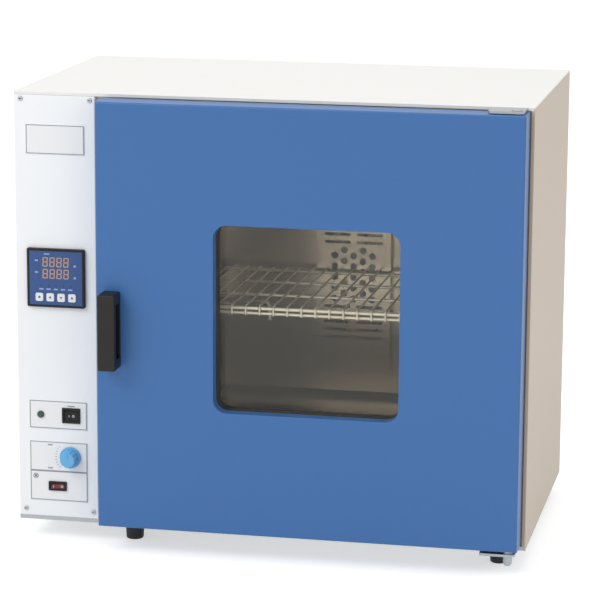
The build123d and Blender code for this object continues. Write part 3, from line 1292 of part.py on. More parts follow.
# Air shutter: disc with a hub on the rod, whose two sectors stand crosswise to the ports when shut
shutter_back = back_y - SHEET - SHUTTER_GAP
with BuildPart() as air_shutter:
    with BuildSketch(upright(shutter_back)):
        with Locations((damper_x, damper_z)):
            Circle(SHUTTER_RADIUS)
    extrude(amount=SHUTTER_THICKNESS)
    with BuildSketch(upright(shutter_back)):
        with Locations((damper_x, damper_z)):
            Circle(SHUTTER_HUB_RADIUS)
    extrude(amount=SHUTTER_HUB_LENGTH)
    for turn in (90, 270):
        with BuildSketch(upright(shutter_back)):
            with BuildLine():
                start = turn - PORT_ANGLE / 2
                outer = CenterArc((damper_x, damper_z), PORT_OUTER, start, PORT_ANGLE)
                inner = CenterArc((damper_x, damper_z), PORT_INNER, start, PORT_ANGLE)
                Line(outer @ 0, inner @ 0)
                Line(outer @ 1, inner @ 1)
            make_face()
        extrude(amount=SHUTTER_THICKNESS, mode=Mode.SUBTRACT)
    with BuildSketch(upright(shutter_back)):
        with Locations((damper_x, damper_z)):
            Circle(ROD_RADIUS + SHAFT_CLEARANCE)
    extrude(amount=SHUTTER_HUB_LENGTH, mode=Mode.SUBTRACT)
air_shutter.part.label = "air_shutter"
export_step(air_shutter.part, "parts/air_shutter.step")

# Solid-state relay: block on a metal base plate on the partition, with four terminal wells
relay_width, relay_depth, relay_height = RELAY_SIZE
relay_y = front_y + RELAY_SETBACK + relay_depth / 2
relay_z = case_bottom + RELAY_LEVEL
with BuildPart() as solid_state_relay:
    with BuildSketch(sideways(panel_right - relay_width)):
        with Locations((relay_y, relay_z)):
            Rectangle(relay_depth - 2 * RELAY_BASE, relay_height - 2 * RELAY_BASE)
    extrude(amount=relay_width - RELAY_BASE)
    fillet(solid_state_relay.faces().sort_by(Axis.X)[0].edges(), RELAY_EDGE)
    with BuildSketch(sideways(panel_right - RELAY_BASE)):
        with Locations((relay_y, relay_z)):
            RectangleRounded(relay_depth, relay_height, RELAY_BASE)
    extrude(amount=RELAY_BASE)
    with BuildSketch(sideways(panel_right - relay_width)):
        with Locations((relay_y, relay_z)):
            with GridLocations(RELAY_TERMINAL_PITCH, RELAY_TERMINAL_SPREAD, 2, 2):
                Circle(RELAY_TERMINAL_RADIUS)
    extrude(amount=RELAY_TERMINAL_DEPTH, mode=Mode.SUBTRACT)
solid_state_relay.part.label = "solid_state_relay"
export_step(solid_state_relay.part, "parts/solid_state_relay.step")

# Cable gland: bored body through the back panel, with a hexagon collar, a domed cap and an inner nut
with BuildPart() as cable_gland:
    with BuildSketch(upright(back_y - SHEET - GLAND_INSIDE)):
        with Locations((gland_x, gland_z)):
            Circle(GLAND_BODY_RADIUS)
    extrude(amount=-(GLAND_INSIDE + SHEET + GLAND_OUTSIDE))
    fillet(cable_gland.faces().sort_by(Axis.Y)[-1].edges(), GLAND_DOME_RADIUS)
    with BuildSketch(upright(back_y)):
        with Locations((gland_x, gland_z)):
            RegularPolygon(GLAND_NUT_RADIUS, 6)
    extrude(amount=-GLAND_COLLAR)
    with BuildSketch(upright(back_y - SHEET)):
        with Locations((gland_x, gland_z)):
            RegularPolygon(GLAND_NUT_RADIUS, 6)
    extrude(amount=GLAND_COLLAR)
    with BuildSketch(upright(back_y + GLAND_OUTSIDE)):
        with Locations((gland_x, gland_z)):
            Circle(GLAND_BORE_RADIUS)
    extrude(amount=GLAND_INSIDE + SHEET + GLAND_OUTSIDE, mode=Mode.SUBTRACT)
cable_gland.part.label = "cable_gland"
export_step(cable_gland.part, "parts/cable_gland.step")

# Hinge brackets: a leaf over and one under the door, each with a leg screwed to the front frame
leg_front = front_y - SEAM - LEG_FRONT
with BuildPart() as hinge_brackets:
    box_between((leaf_left, pin_y - LEAF_MARGIN, top_leaf_low),
                (leaf_right, front_y - SEAM, top_leaf_low + LEAF_THICKNESS))
    box_between((leaf_left, leg_front, case_top - leg_height),
                (leaf_left + LEG_WIDTH, front_y - SEAM, top_leaf_low + LEAF_THICKNESS))
    box_between((leaf_left, front_y - SEAM, case_top - leg_height),
                (leaf_left + LEG_WIDTH, frame_front, frame_top))
    box_between((leaf_left, pin_y - LEAF_MARGIN, bottom_leaf_low),
                (leaf_right, front_y - SEAM, bottom_leaf_low + LEAF_THICKNESS))
    box_between((leaf_left, leg_front, bottom_leaf_low),
                (leaf_left + LEG_WIDTH, front_y - SEAM, case_bottom + leg_height))
    box_between((leaf_left, front_y - SEAM, frame_bottom),
                (leaf_left + LEG_WIDTH, frame_front, case_bottom + leg_height))
    leaf_corners = hinge_brackets.edges().filter_by(Axis.Z).group_by(Axis.Y)[0]
    fillet(leaf_corners, LEAF_RADIUS)
    with BuildSketch(Plane.XY.offset(case_bottom)):
        with Locations((pin_x, pin_y)):
            Circle(PIN_RADIUS + PIN_CLEARANCE)
    extrude(amount=case_height, mode=Mode.SUBTRACT)
    with BuildSketch(upright(frame_front)):
        with Locations(*hinge_screw_places):
            Circle(SCREW_RADIUS + SCREW_FIT)
    extrude(amount=frame_front - leg_front, mode=Mode.SUBTRACT)
hinge_brackets.part.label = "hinge_brackets"
export_step(hinge_brackets.part, "parts/hinge_brackets.step")

# Hinge screws: through the legs of the brackets into the front frame
with BuildPart() as hinge_screws:
    with BuildSketch(upright(leg_front)):
        with Locations(*hinge_screw_places):
            Circle(SCREW_HEAD_RADIUS)
    extrude(amount=SCREW_HEAD_HEIGHT)
    fillet(hinge_screws.faces().group_by(Axis.Y)[0].edges(), SCREW_HEAD_HEIGHT / 2)
    with BuildSketch(upright(leg_front)):
        with Locations(*hinge_screw_places):
            Circle(SCREW_RADIUS)
    extrude(amount=leg_front - frame_back - HINGE_SCREW_TAIL)
hinge_screws.part.label = "hinge_screws"
export_step(hinge_screws.part, "parts/hinge_screws.step")

# Hinge pins: a headed pin above; below, a bolt with a spacing collar and a domed nut
top_leaf_high = top_leaf_low + LEAF_THICKNESS
bottom_leaf_high = bottom_leaf_low + LEAF_THICKNESS
with BuildPart() as hinge_pins:
    with Locations((pin_x, pin_y, top_leaf_high)):
        Cylinder(PIN_HEAD_RADIUS, PIN_HEAD_HEIGHT, align=(Align.CENTER, Align.CENTER, Align.MIN))
    fillet(hinge_pins.faces().sort_by(Axis.Z)[-1].edges(), PIN_HEAD_HEIGHT / 2)
    with Locations((pin_x, pin_y, top_leaf_high)):
        Cylinder(PIN_RADIUS, top_leaf_high - door_top + DOOR_SHEET + PIN_ENGAGEMENT,
                 align=(Align.CENTER, Align.CENTER, Align.MAX))
    with Locations((pin_x, pin_y, bottom_leaf_low)):
        Cylinder(NUT_DOME_RADIUS, NUT_DOME_LENGTH, align=(Align.CENTER, Align.CENTER, Align.MAX))
    fillet(hinge_pins.faces().sort_by(Axis.Z)[0].edges(), NUT_DOME_ROUNDING)
    with Locations((pin_x, pin_y, bottom_leaf_low)):
        Cylinder(PIN_RADIUS, door_bottom + DOOR_SHEET + PIN_ENGAGEMENT - bottom_leaf_low,
                 align=(Align.CENTER, Align.CENTER, Align.MIN))
    with Locations((pin_x, pin_y, bottom_leaf_high)):
        Cylinder(PIN_HEAD_RADIUS, door_bottom - bottom_leaf_high - COLLAR_GAP,
                 align=(Align.CENTER, Align.CENTER, Align.MIN))
hinge_pins.part.label = "hinge_pins"
export_step(hinge_pins.part, "parts/hinge_pins.step")

# Door seal: silicone ring on the front frame, round the flange of the liner
seal_corner = LINER_FLANGE + SEAL_OFFSET
seal_width = CHAMBER_WIDTH + 2 * seal_corner
seal_height = CHAMBER_HEIGHT + 2 * seal_corner
with BuildPart() as door_seal:
    with BuildSketch(upright(frame_front)):
        with Locations((chamber_x, chamber_z)):
            RectangleRounded(seal_width + 2 * SEAL_WIDTH, seal_height + 2 * SEAL_WIDTH,
                             seal_corner + SEAL_WIDTH)
            RectangleRounded(seal_width, seal_height, seal_corner, mode=Mode.SUBTRACT)
    extrude(amount=frame_front - door_back - SEAL_CLEARANCE)
    fillet(door_seal.faces().sort_by(Axis.Y)[0].edges(), SEAL_RADIUS)
door_seal.part.label = "door_seal"
export_step(door_seal.part, "parts/door_seal.step")

# Magnet catch on the front frame, and its keeper plate on the back of the door
catch_x = door_left + HANDLE_INSET + HANDLE_WIDTH / 2
keeper_back = door_back + KEEPER_THICKNESS
with BuildPart() as magnet_catch:
    with BuildSketch(upright(frame_front)):
        with Locations((catch_x, window_z)):
            Rectangle(CATCH_WIDTH, CATCH_HEIGHT)
    extrude(amount=frame_front - keeper_back - CATCH_CLEARANCE)
    chamfer(magnet_catch.faces().sort_by(Axis.Y)[0].edges(), CATCH_CHAMFER)
magnet_catch.part.label = "magnet_catch"
export_step(magnet_catch.part, "parts/magnet_catch.step")

with BuildPart() as keeper_plate:
    with BuildSketch(upright(keeper_back)):
        with Locations((catch_x, window_z)):
            RectangleRounded(CATCH_WIDTH + 2 * KEEPER_MARGIN, CATCH_HEIGHT + 2 * KEEPER_MARGIN, KEEPER_MARGIN)
    extrude(amount=KEEPER_THICKNESS)
keeper_plate.part.label = "keeper_plate"
export_step(keeper_plate.part, "parts/keeper_plate.step")

# Door skin: deep painted pan with a rounded window opening and a collar turned inwards
handle_x = catch_x
handle_z = door_z + HANDLE_LIFT
handle_screw_places = [(handle_x, handle_z + side * HANDLE_SCREW_PITCH / 2) for side in (-1, 1)]
inside_width = door_width - 2 * DOOR_SHEET
inside_height = door_height - 2 * DOOR_SHEET
inside_front = door_front + DOOR_SHEET
collar_back = inside_front + COLLAR_DEPTH
plate_face = door_back - INNER_PLATE
with BuildPart() as door_skin:
    with BuildSketch(upright(door_back)):
        with Locations((door_x, door_z)):
            Rectangle(door_width, door_height)
    extrude(amount=DOOR_THICKNESS)
    fillet(door_skin.faces().sort_by(Axis.Y)[0].edges(), DOOR_EDGE_RADIUS)
    with BuildSketch(upright(door_back)):
        with Locations((door_x, door_z)):
            Rectangle(inside_width, inside_height)
    extrude(amount=DOOR_THICKNESS - DOOR_SHEET, mode=Mode.SUBTRACT)
    with BuildSketch(upright(collar_back)):
        with Locations((door_x, window_z)):
            RectangleRounded(WINDOW_WIDTH + 2 * DOOR_SHEET, WINDOW_HEIGHT + 2 * DOOR_SHEET,
                             WINDOW_CORNER + DOOR_SHEET)
    extrude(amount=COLLAR_DEPTH)
    with BuildSketch(upright(collar_back)):
        with Locations((door_x, window_z)):
            RectangleRounded(WINDOW_WIDTH, WINDOW_HEIGHT, WINDOW_CORNER)
    extrude(amount=COLLAR_DEPTH + DOOR_SHEET, mode=Mode.SUBTRACT)
    fillet(door_skin.faces().sort_by(Axis.Y)[0].inner_wires()[0].edges(), COLLAR_EDGE_RADIUS)
    with BuildSketch(Plane.XY.offset(door_bottom)):
        with Locations((pin_x, pin_y)):
            Circle(PIN_RADIUS + BLOCK_FIT)
    extrude(amount=door_height, mode=Mode.SUBTRACT)
    with BuildSketch(upright(inside_front)):
        with Locations(*handle_screw_places):
            Circle(SCREW_RADIUS + SCREW_FIT)
    extrude(amount=DOOR_SHEET, mode=Mode.SUBTRACT)
door_skin.part.label = "door_skin"
export_step(door_skin.part, "parts/door_skin.step")

# Door inner plate: stainless sheet that closes the back of the pan, open at the window
with BuildPart() as door_inner_plate:
    with BuildSketch(upright(door_back)):
        with Locations((door_x, door_z)):
            Rectangle(inside_width - SEAM, inside_height - SEAM)
        with Locations((door_x, window_z)):
            RectangleRounded(WINDOW_WIDTH, WINDOW_HEIGHT, WINDOW_CORNER, mode=Mode.SUBTRACT)
    extrude(amount=INNER_PLATE)
door_inner_plate.part.label = "door_inner_plate"
export_step(door_inner_plate.part, "parts/door_inner_plate.step")

# Window gasket: silicone ring between the collar and the inner plate, grooved for two panes
pane_width = WINDOW_WIDTH + 2 * PANE_OVERLAP
pane_height = WINDOW_HEIGHT + 2 * PANE_OVERLAP
gasket_width = pane_width + 2 * GASKET_WALL
gasket_height = pane_height + 2 * GASKET_WALL
groove_depth = PANE_THICKNESS + 2 * PANE_FIT
groove_backs = (collar_back + GASKET_LIP + groove_depth, plate_face - GASKET_LIP)
with BuildPart() as window_gasket:
    with BuildSketch(upright(plate_face)):
        with Locations((door_x, window_z)):
            RectangleRounded(gasket_width, gasket_height, WINDOW_CORNER)
            RectangleRounded(WINDOW_WIDTH, WINDOW_HEIGHT, WINDOW_CORNER, mode=Mode.SUBTRACT)
    extrude(amount=plate_face - collar_back)
    for groove_back in groove_backs:
        with BuildSketch(upright(groove_back)):
            with Locations((door_x, window_z)):
                Rectangle(pane_width + 2 * PANE_FIT, pane_height + 2 * PANE_FIT)
        extrude(amount=groove_depth, mode=Mode.SUBTRACT)
window_gasket.part.label = "window_gasket"
export_step(window_gasket.part, "parts/window_gasket.step")

# Window panes: two toughened glass sheets in the grooves of the gasket
with BuildPart() as window_panes:
    for groove_back in groove_backs:
        with BuildSketch(upright(groove_back - PANE_FIT)):
            with Locations((door_x, window_z)):
                Rectangle(pane_width, pane_height)
        extrude(amount=PANE_THICKNESS)
window_panes.part.label = "window_panes"
export_step(window_panes.part, "parts/window_panes.step")

# Hinge blocks: steel blocks inside the door at its top and bottom, bored for the pins
block_front = inside_front + SEAM
block_back = plate_face - SEAM
lower_block = door_bottom + DOOR_SHEET
upper_block = door_top - DOOR_SHEET - HINGE_BLOCK_HEIGHT
with BuildPart() as hinge_blocks:
    for low in (lower_block, upper_block):
        box_between((pin_x - HINGE_BLOCK_WIDTH / 2, block_front, low),
                    (pin_x + HINGE_BLOCK_WIDTH / 2, block_back, low + HINGE_BLOCK_HEIGHT))
    with BuildSketch(Plane.XY.offset(door_bottom)):
        with Locations((pin_x, pin_y)):
            Circle(PIN_RADIUS + PIN_CLEARANCE)
    extrude(amount=door_height, mode=Mode.SUBTRACT)
hinge_blocks.part.label = "hinge_blocks"
export_step(hinge_blocks.part, "parts/hinge_blocks.step")

# Door insulation: fills the pan round the window and the hinge blocks
block_room_width = HINGE_BLOCK_WIDTH + 2 * (PIN_EDGE - HINGE_BLOCK_WIDTH / 2)
block_room_height = 2 * (HINGE_BLOCK_HEIGHT + DOOR_SHEET + INSULATION_FIT)
with BuildPart() as door_insulation:
    with BuildSketch(upright(plate_face - INSULATION_FIT)):
        with Locations((door_x, door_z)):
            Rectangle(inside_width - 2 * INSULATION_FIT, inside_height - 2 * INSULATION_FIT)
        with Locations((door_x, window_z)):
            Rectangle(gasket_width + 2 * INSULATION_FIT, gasket_height + 2 * INSULATION_FIT,
                      mode=Mode.SUBTRACT)
        with Locations((pin_x, door_bottom), (pin_x, door_top)):
            Rectangle(block_room_width, block_room_height, mode=Mode.SUBTRACT)
        with Locations(*handle_screw_places):
            Circle(SCREW_HEAD_RADIUS + INSULATION_FIT, mode=Mode.SUBTRACT)
    extrude(amount=plate_face - inside_front - 2 * INSULATION_FIT)
door_insulation.part.label = "door_insulation"
export_step(door_insulation.part, "parts/door_insulation.step")

# Door handle: moulded grip with a finger scoop in its right side
scoop_back = door_front - SCOOP_BASE
scoop_front = door_front - HANDLE_REACH + SCOOP_LIP
with BuildPart() as door_handle:
    with BuildSketch(upright(door_front)):
        with Locations((handle_x, handle_z)):
            RectangleRounded(HANDLE_WIDTH, HANDLE_HEIGHT, HANDLE_RADIUS)
    extrude(amount=HANDLE_REACH)
    fillet(door_handle.faces().sort_by(Axis.Y)[0].edges(), HANDLE_EDGE_RADIUS)
    with BuildSketch(Plane.XY.offset(handle_z - SCOOP_HEIGHT / 2)):
        with Locations((handle_x + HANDLE_WIDTH / 2, (scoop_back + scoop_front) / 2)):
            RectangleRounded(2 * SCOOP_DEPTH, scoop_back - scoop_front, HANDLE_RADIUS)
    extrude(amount=SCOOP_HEIGHT, mode=Mode.SUBTRACT)
    with BuildSketch(upright(door_front)):
        with Locations(*handle_screw_places):
            Circle(SCREW_RADIUS + SCREW_FIT)
    extrude(amount=SCOOP_BASE - DOOR_SHEET, mode=Mode.SUBTRACT)
door_handle.part.label = "door_handle"
export_step(door_handle.part, "parts/door_handle.step")

# Handle screws: from inside the pan into the base of the handle
with BuildPart() as handle_screws:
    with BuildSketch(upright(inside_front)):
        with Locations(*handle_screw_places):
            Circle(SCREW_RADIUS)
    extrude(amount=SCOOP_BASE - SCREW_FIT)
    with BuildSketch(upright(inside_front + SCREW_HEAD_HEIGHT)):
        with Locations(*handle_screw_places):
            Circle(SCREW_HEAD_RADIUS)
    extrude(amount=SCREW_HEAD_HEIGHT)
handle_screws.part.label = "handle_screws"
export_step(handle_screws.part, "parts/handle_screws.step")
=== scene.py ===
"""Looks of a bench-top forced-air drying oven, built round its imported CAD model. Metres, +Z up."""

import logging
import math
from collections.abc import Callable, Iterable
from dataclasses import dataclass, field
from enum import Enum

import bmesh
import bpy
from mathutils import Matrix, Vector

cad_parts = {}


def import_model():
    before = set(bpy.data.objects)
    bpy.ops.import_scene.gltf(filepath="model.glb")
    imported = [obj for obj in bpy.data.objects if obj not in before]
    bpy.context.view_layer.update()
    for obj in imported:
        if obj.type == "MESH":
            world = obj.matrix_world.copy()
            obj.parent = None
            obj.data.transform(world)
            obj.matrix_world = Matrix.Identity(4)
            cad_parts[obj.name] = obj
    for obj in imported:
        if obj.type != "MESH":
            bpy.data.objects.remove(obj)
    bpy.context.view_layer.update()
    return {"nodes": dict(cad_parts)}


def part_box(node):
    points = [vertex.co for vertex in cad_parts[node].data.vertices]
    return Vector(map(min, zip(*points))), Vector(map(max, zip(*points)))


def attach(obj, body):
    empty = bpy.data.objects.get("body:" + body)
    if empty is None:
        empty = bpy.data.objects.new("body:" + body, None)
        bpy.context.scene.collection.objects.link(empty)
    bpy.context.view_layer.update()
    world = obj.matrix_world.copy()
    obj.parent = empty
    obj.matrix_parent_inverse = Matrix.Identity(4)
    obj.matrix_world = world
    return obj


Point = tuple[float, float, float]
Colour = tuple[float, float, float]
LOG = logging.getLogger("drying_oven")
MM = 0.001

INK = 0.1 * MM
MARK_THICKNESS = 0.16 * MM
RING_SEED = 0.02 * MM
RING_STEPS = 24
WHITE_LIGHT = (1.0, 1.0, 1.0, 1.0)

COAT_ROUGHNESS = 0.12
FINE_GRAIN = 900.0
MOULD_GRAIN = 1600.0
ALONG_BRUSH = 8.0
GRAIN_DETAIL = 2.0
GRAIN_HEIGHT = 0.4 * MM
MOTTLE_SCALE = 7.0
MOTTLE_DETAIL = 3.0
MOTTLE_STOPS = (0.3, 0.7)
ROUGHNESS_SPREAD = 0.2


class Body(Enum):
    """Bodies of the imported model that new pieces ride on."""

    CASE = "case"
    SET_KEY = "set_key"
    SHIFT_KEY = "shift_key"
    DOWN_KEY = "down_key"
    UP_KEY = "up_key"
    POWER_SWITCH = "power_switch"
    FAN_SWITCH = "fan_switch"


class Grain(Enum):
    """Kinds of fine surface relief."""

    NONE = 0
    SPRAY = 1
    BRUSH_X = 2
    MOULD = 3


def linear(code: str) -> Colour:
    """Turn a six-digit sRGB code into linear colour."""
    parts = [int(code[i:i + 2], 16) / 255 for i in (0, 2, 4)]
    return tuple(c / 12.92 if c <= 0.04045 else ((c + 0.055) / 1.055) ** 2.4 for c in parts)


@dataclass(frozen=True)
class Finish:
    """A surface finish and the material that shows it."""

    name: str
    code: str
    roughness: float = 0.5
    metallic: float = 0.0
    coat: float = 0.0
    grain: Grain = Grain.NONE
    depth: float = 0.05
    mottle: float = 0.0
    shine: float = 0.5

    def material(self) -> bpy.types.Material:
        """Build the material, or return it if it is there already.

        Returns:
            The material of this finish.
        """
        known = bpy.data.materials.get(f"oven_{self.name}")
        if known:
            return known
        made = bpy.data.materials.new(f"oven_{self.name}")
        made.use_nodes = True
        tree = made.node_tree
        shader = tree.nodes["Principled BSDF"]
        colour = (*linear(self.code), 1.0)
        shader.inputs["Base Color"].default_value = colour
        shader.inputs["Roughness"].default_value = self.roughness
        shader.inputs["Metallic"].default_value = self.metallic
        shader.inputs["Coat Weight"].default_value = self.coat
        shader.inputs["Coat Roughness"].default_value = COAT_ROUGHNESS
        shader.inputs["Specular IOR Level"].default_value = self.shine
        if self.grain is not Grain.NONE or self.mottle:
            place = tree.nodes.new("ShaderNodeTexCoord")
            if self.grain is not Grain.NONE:
                self._relief(tree, place, shader)
            if self.mottle:
                self._mottle(tree, place, shader)
        return made

    def _relief(self, tree: bpy.types.NodeTree, place: bpy.types.Node, shader: bpy.types.Node) -> None:
        """Add the fine relief of the grain to the shader's normal.

        Args:
            tree: The material's node tree.
            place: Its texture coordinate node.
            shader: Its shader.
        """
        scales = {
            Grain.SPRAY: (FINE_GRAIN, FINE_GRAIN, FINE_GRAIN),
            Grain.BRUSH_X: (ALONG_BRUSH, FINE_GRAIN, FINE_GRAIN),
            Grain.MOULD: (MOULD_GRAIN, MOULD_GRAIN, MOULD_GRAIN),
        }
        stretch = tree.nodes.new("ShaderNodeMapping")
        stretch.inputs["Scale"].default_value = scales[self.grain]
        noise = tree.nodes.new("ShaderNodeTexNoise")
        noise.inputs["Scale"].default_value = 1.0
        noise.inputs["Detail"].default_value = GRAIN_DETAIL
        bump = tree.nodes.new("ShaderNodeBump")
        bump.inputs["Strength"].default_value = self.depth
        bump.inputs["Distance"].default_value = GRAIN_HEIGHT
        tree.links.new(place.outputs["Object"], stretch.inputs["Vector"])
        tree.links.new(stretch.outputs["Vector"], noise.inputs["Vector"])
        tree.links.new(noise.outputs["Fac"], bump.inputs["Height"])
        tree.links.new(bump.outputs["Normal"], shader.inputs["Normal"])

    def _mottle(self, tree: bpy.types.NodeTree, place: bpy.types.Node, shader: bpy.types.Node) -> None:
        """Let the colour and the roughness wander a little, in large soft patches.

        Args:
            tree: The material's node tree.
            place: Its texture coordinate node.
            shader: Its shader.
        """
        noise = tree.nodes.new("ShaderNodeTexNoise")
        noise.inputs["Scale"].default_value = MOTTLE_SCALE
        noise.inputs["Detail"].default_value = MOTTLE_DETAIL
        ramp = tree.nodes.new("ShaderNodeValToRGB")
        base = linear(self.code)
        shares = (1.0 - self.mottle, 1.0 + self.mottle)
        for stop, share, position in zip(ramp.color_ramp.elements, shares, MOTTLE_STOPS):
            stop.color = (*[min(1.0, c * share) for c in base], 1.0)
            stop.position = position
        spread = tree.nodes.new("ShaderNodeMapRange")
        spread.inputs["To Min"].default_value = self.roughness * (1.0 - ROUGHNESS_SPREAD)
        spread.inputs["To Max"].default_value = self.roughness * (1.0 + ROUGHNESS_SPREAD)
        tree.links.new(place.outputs["Object"], noise.inputs["Vector"])
        tree.links.new(noise.outputs["Fac"], ramp.inputs["Fac"])
        tree.links.new(noise.outputs["Fac"], spread.inputs["Value"])
        tree.links.new(ramp.outputs["Color"], shader.inputs["Base Color"])
        tree.links.new(spread.outputs["Result"], shader.inputs["Roughness"])


@dataclass(frozen=True)
class PaneFinish:
    """Thin flat glass: clear where it is seen straight on, mirroring where it is seen at a slant."""

    name: str
    tint: str = "fdfdfb"
    ior: float = 1.28
    roughness: float = 0.02

    def material(self) -> bpy.types.Material:
        """Build the glass, or return it if it is there already.

        Returns:
            The material of the panes.
        """
        known = bpy.data.materials.get(f"oven_{self.name}")
        if known:
            return known
        made = bpy.data.materials.new(f"oven_{self.name}")
        made.use_nodes = True
        tree = made.node_tree
        tree.nodes.remove(tree.nodes["Principled BSDF"])
        clear = tree.nodes.new("ShaderNodeBsdfTransparent")
        clear.inputs["Color"].default_value = (*linear(self.tint), 1.0)
        mirror = tree.nodes.new("ShaderNodeBsdfGlossy")
        mirror.inputs["Roughness"].default_value = self.roughness
        side = tree.nodes.new("ShaderNodeNewGeometry")
        bend = tree.nodes.new("ShaderNodeMapRange")
        bend.inputs["To Min"].default_value = self.ior
        bend.inputs["To Max"].default_value = 1.0 / self.ior
        share = tree.nodes.new("ShaderNodeFresnel")
        mixed = tree.nodes.new("ShaderNodeMixShader")
        tree.links.new(side.outputs["Backfacing"], bend.inputs["Value"])
        tree.links.new(bend.outputs["Result"], share.inputs["IOR"])
        tree.links.new(share.outputs["Fac"], mixed.inputs["Fac"])
        tree.links.new(clear.outputs["BSDF"], mixed.inputs[1])
        tree.links.new(mirror.outputs["BSDF"], mixed.inputs[2])
        tree.links.new(mixed.outputs["Shader"], tree.nodes["Material Output"].inputs["Surface"])
        return made


PANEL_WHITE = Finish("panel_white_paint", "f7f9fb", 0.42, grain=Grain.SPRAY, depth=0.10)
CASE_WHITE = Finish("case_white_paint", "f1f0ed", 0.42, grain=Grain.SPRAY, depth=0.10)
# Painted shade: the side panels get a darker, beige copy of the case paint, standing in for the shade on
# the sides that turn from the light.
SIDE_SHADED_BEIGE = Finish("side_beige_painted_shade", "c6b6a3", 0.45, grain=Grain.SPRAY, depth=0.10)
# Painted shade: the recessed front frame gets a darker, beige copy of the case paint, standing in for the
# shade in the recess.
FRAME_SHADED_BEIGE = Finish("frame_beige_painted_shade", "d3c8b8", 0.45, grain=Grain.SPRAY, depth=0.10)
DOOR_BLUE = Finish("door_blue_paint", "386ba8", 0.40, grain=Grain.SPRAY, depth=0.12)
ZINC_SHEET = Finish("zinc_sheet", "a9adb1", 0.45, metallic=0.9, grain=Grain.SPRAY, depth=0.06, mottle=0.05)
STAINLESS = Finish("stainless_sheet", "b5b1ab", 0.28, metallic=0.88,
                   grain=Grain.BRUSH_X, depth=0.04, mottle=0.05)
CHAMBER_STEEL = Finish("chamber_steel", "b2a596", 0.22, metallic=0.65,
                       grain=Grain.BRUSH_X, depth=0.03, mottle=0.06)
# Bright metal wire with painted sheen: a pale, part-diffuse colour stands in for the bright reflections on
# the wires.
WIRE_PAINTED_SHEEN = Finish("bright_wire", "f0e8da", 0.22, metallic=0.45)
SCREW_STEEL = Finish("screw_steel", "b4b7ba", 0.32, metallic=0.95)
HINGE_STEEL = Finish("hinge_steel", "a3a8ac", 0.34, metallic=0.95, grain=Grain.BRUSH_X, depth=0.10)
DARK_SHEATH = Finish("dark_sheath", "5a534e", 0.5, metallic=0.6)
MINERAL_WOOL = Finish("mineral_wool", "d8c79a", 0.95, grain=Grain.SPRAY, depth=0.6)
BLACK_RUBBER = Finish("black_rubber", "1a1b1d", 0.6, grain=Grain.MOULD, depth=0.15)
SILICONE = Finish("grey_silicone", "a8a298", 0.55)
DARK_SILICONE = Finish("dark_silicone", "4a4846", 0.55)
GLASS = PaneFinish("clear_glass")
FAN_ALUMINIUM = Finish("fan_aluminium", "a8acaf", 0.4, metallic=0.9)
MOTOR_PAINT = Finish("motor_paint", "2c2f33", 0.45, grain=Grain.SPRAY, depth=0.10)
BLACK_PLASTIC = Finish("black_plastic", "161514", 0.45, grain=Grain.MOULD, depth=0.12, shine=0.3)
HANDLE_BLACK = Finish("handle_black", "17130f", 0.42, grain=Grain.MOULD, depth=0.10, shine=0.35)
WHITE_PLASTIC = Finish("white_plastic", "e9ecef", 0.35)
FACE_BLUE = Finish("controller_blue", "2c5089", 0.45)
LENS_SMOKE = Finish("lens_smoke", "2f4f83", 0.35)
DIGIT_PALE = Finish("digit_pale", "b0a09e", 0.5)
DIGIT_SHADE = Finish("digit_shade", "5c4657", 0.5)
WHITE_INK = Finish("white_ink", "e8ecf2", 0.5)
SKY_INK = Finish("sky_ink", "92a8d6", 0.5)
GREY_INK = Finish("grey_ink", "80858a", 0.5)
DARK_INK = Finish("dark_ink", "5d646b", 0.5)
PLATE_WHITE = Finish("plate_white", "f1f2f3", 0.38)
PLATE_RIM = Finish("plate_rim", "8f9499", 0.4)
ROCKER_RED = Finish("rocker_red", "6e1520", 0.30, coat=0.2)
LAMP_GREEN = Finish("lamp_green", "173a2e", 0.2, coat=0.4)
LED_DULL = Finish("led_dull", "35504f", 0.35)
KNOB_BLUE = Finish("knob_blue", "66b2e2", 0.36, grain=Grain.MOULD, depth=0.06)
GLAND_GREY = Finish("gland_grey", "4a4d50", 0.5)
MAGNET_DARK = Finish("magnet_dark", "3b3c3e", 0.6)
# Painted shade: flat dark crosses stand in for the shade inside the screws' cross recesses.
RECESS_SHADE = Finish("recess_painted_shade", "1a1a1c", 0.8)

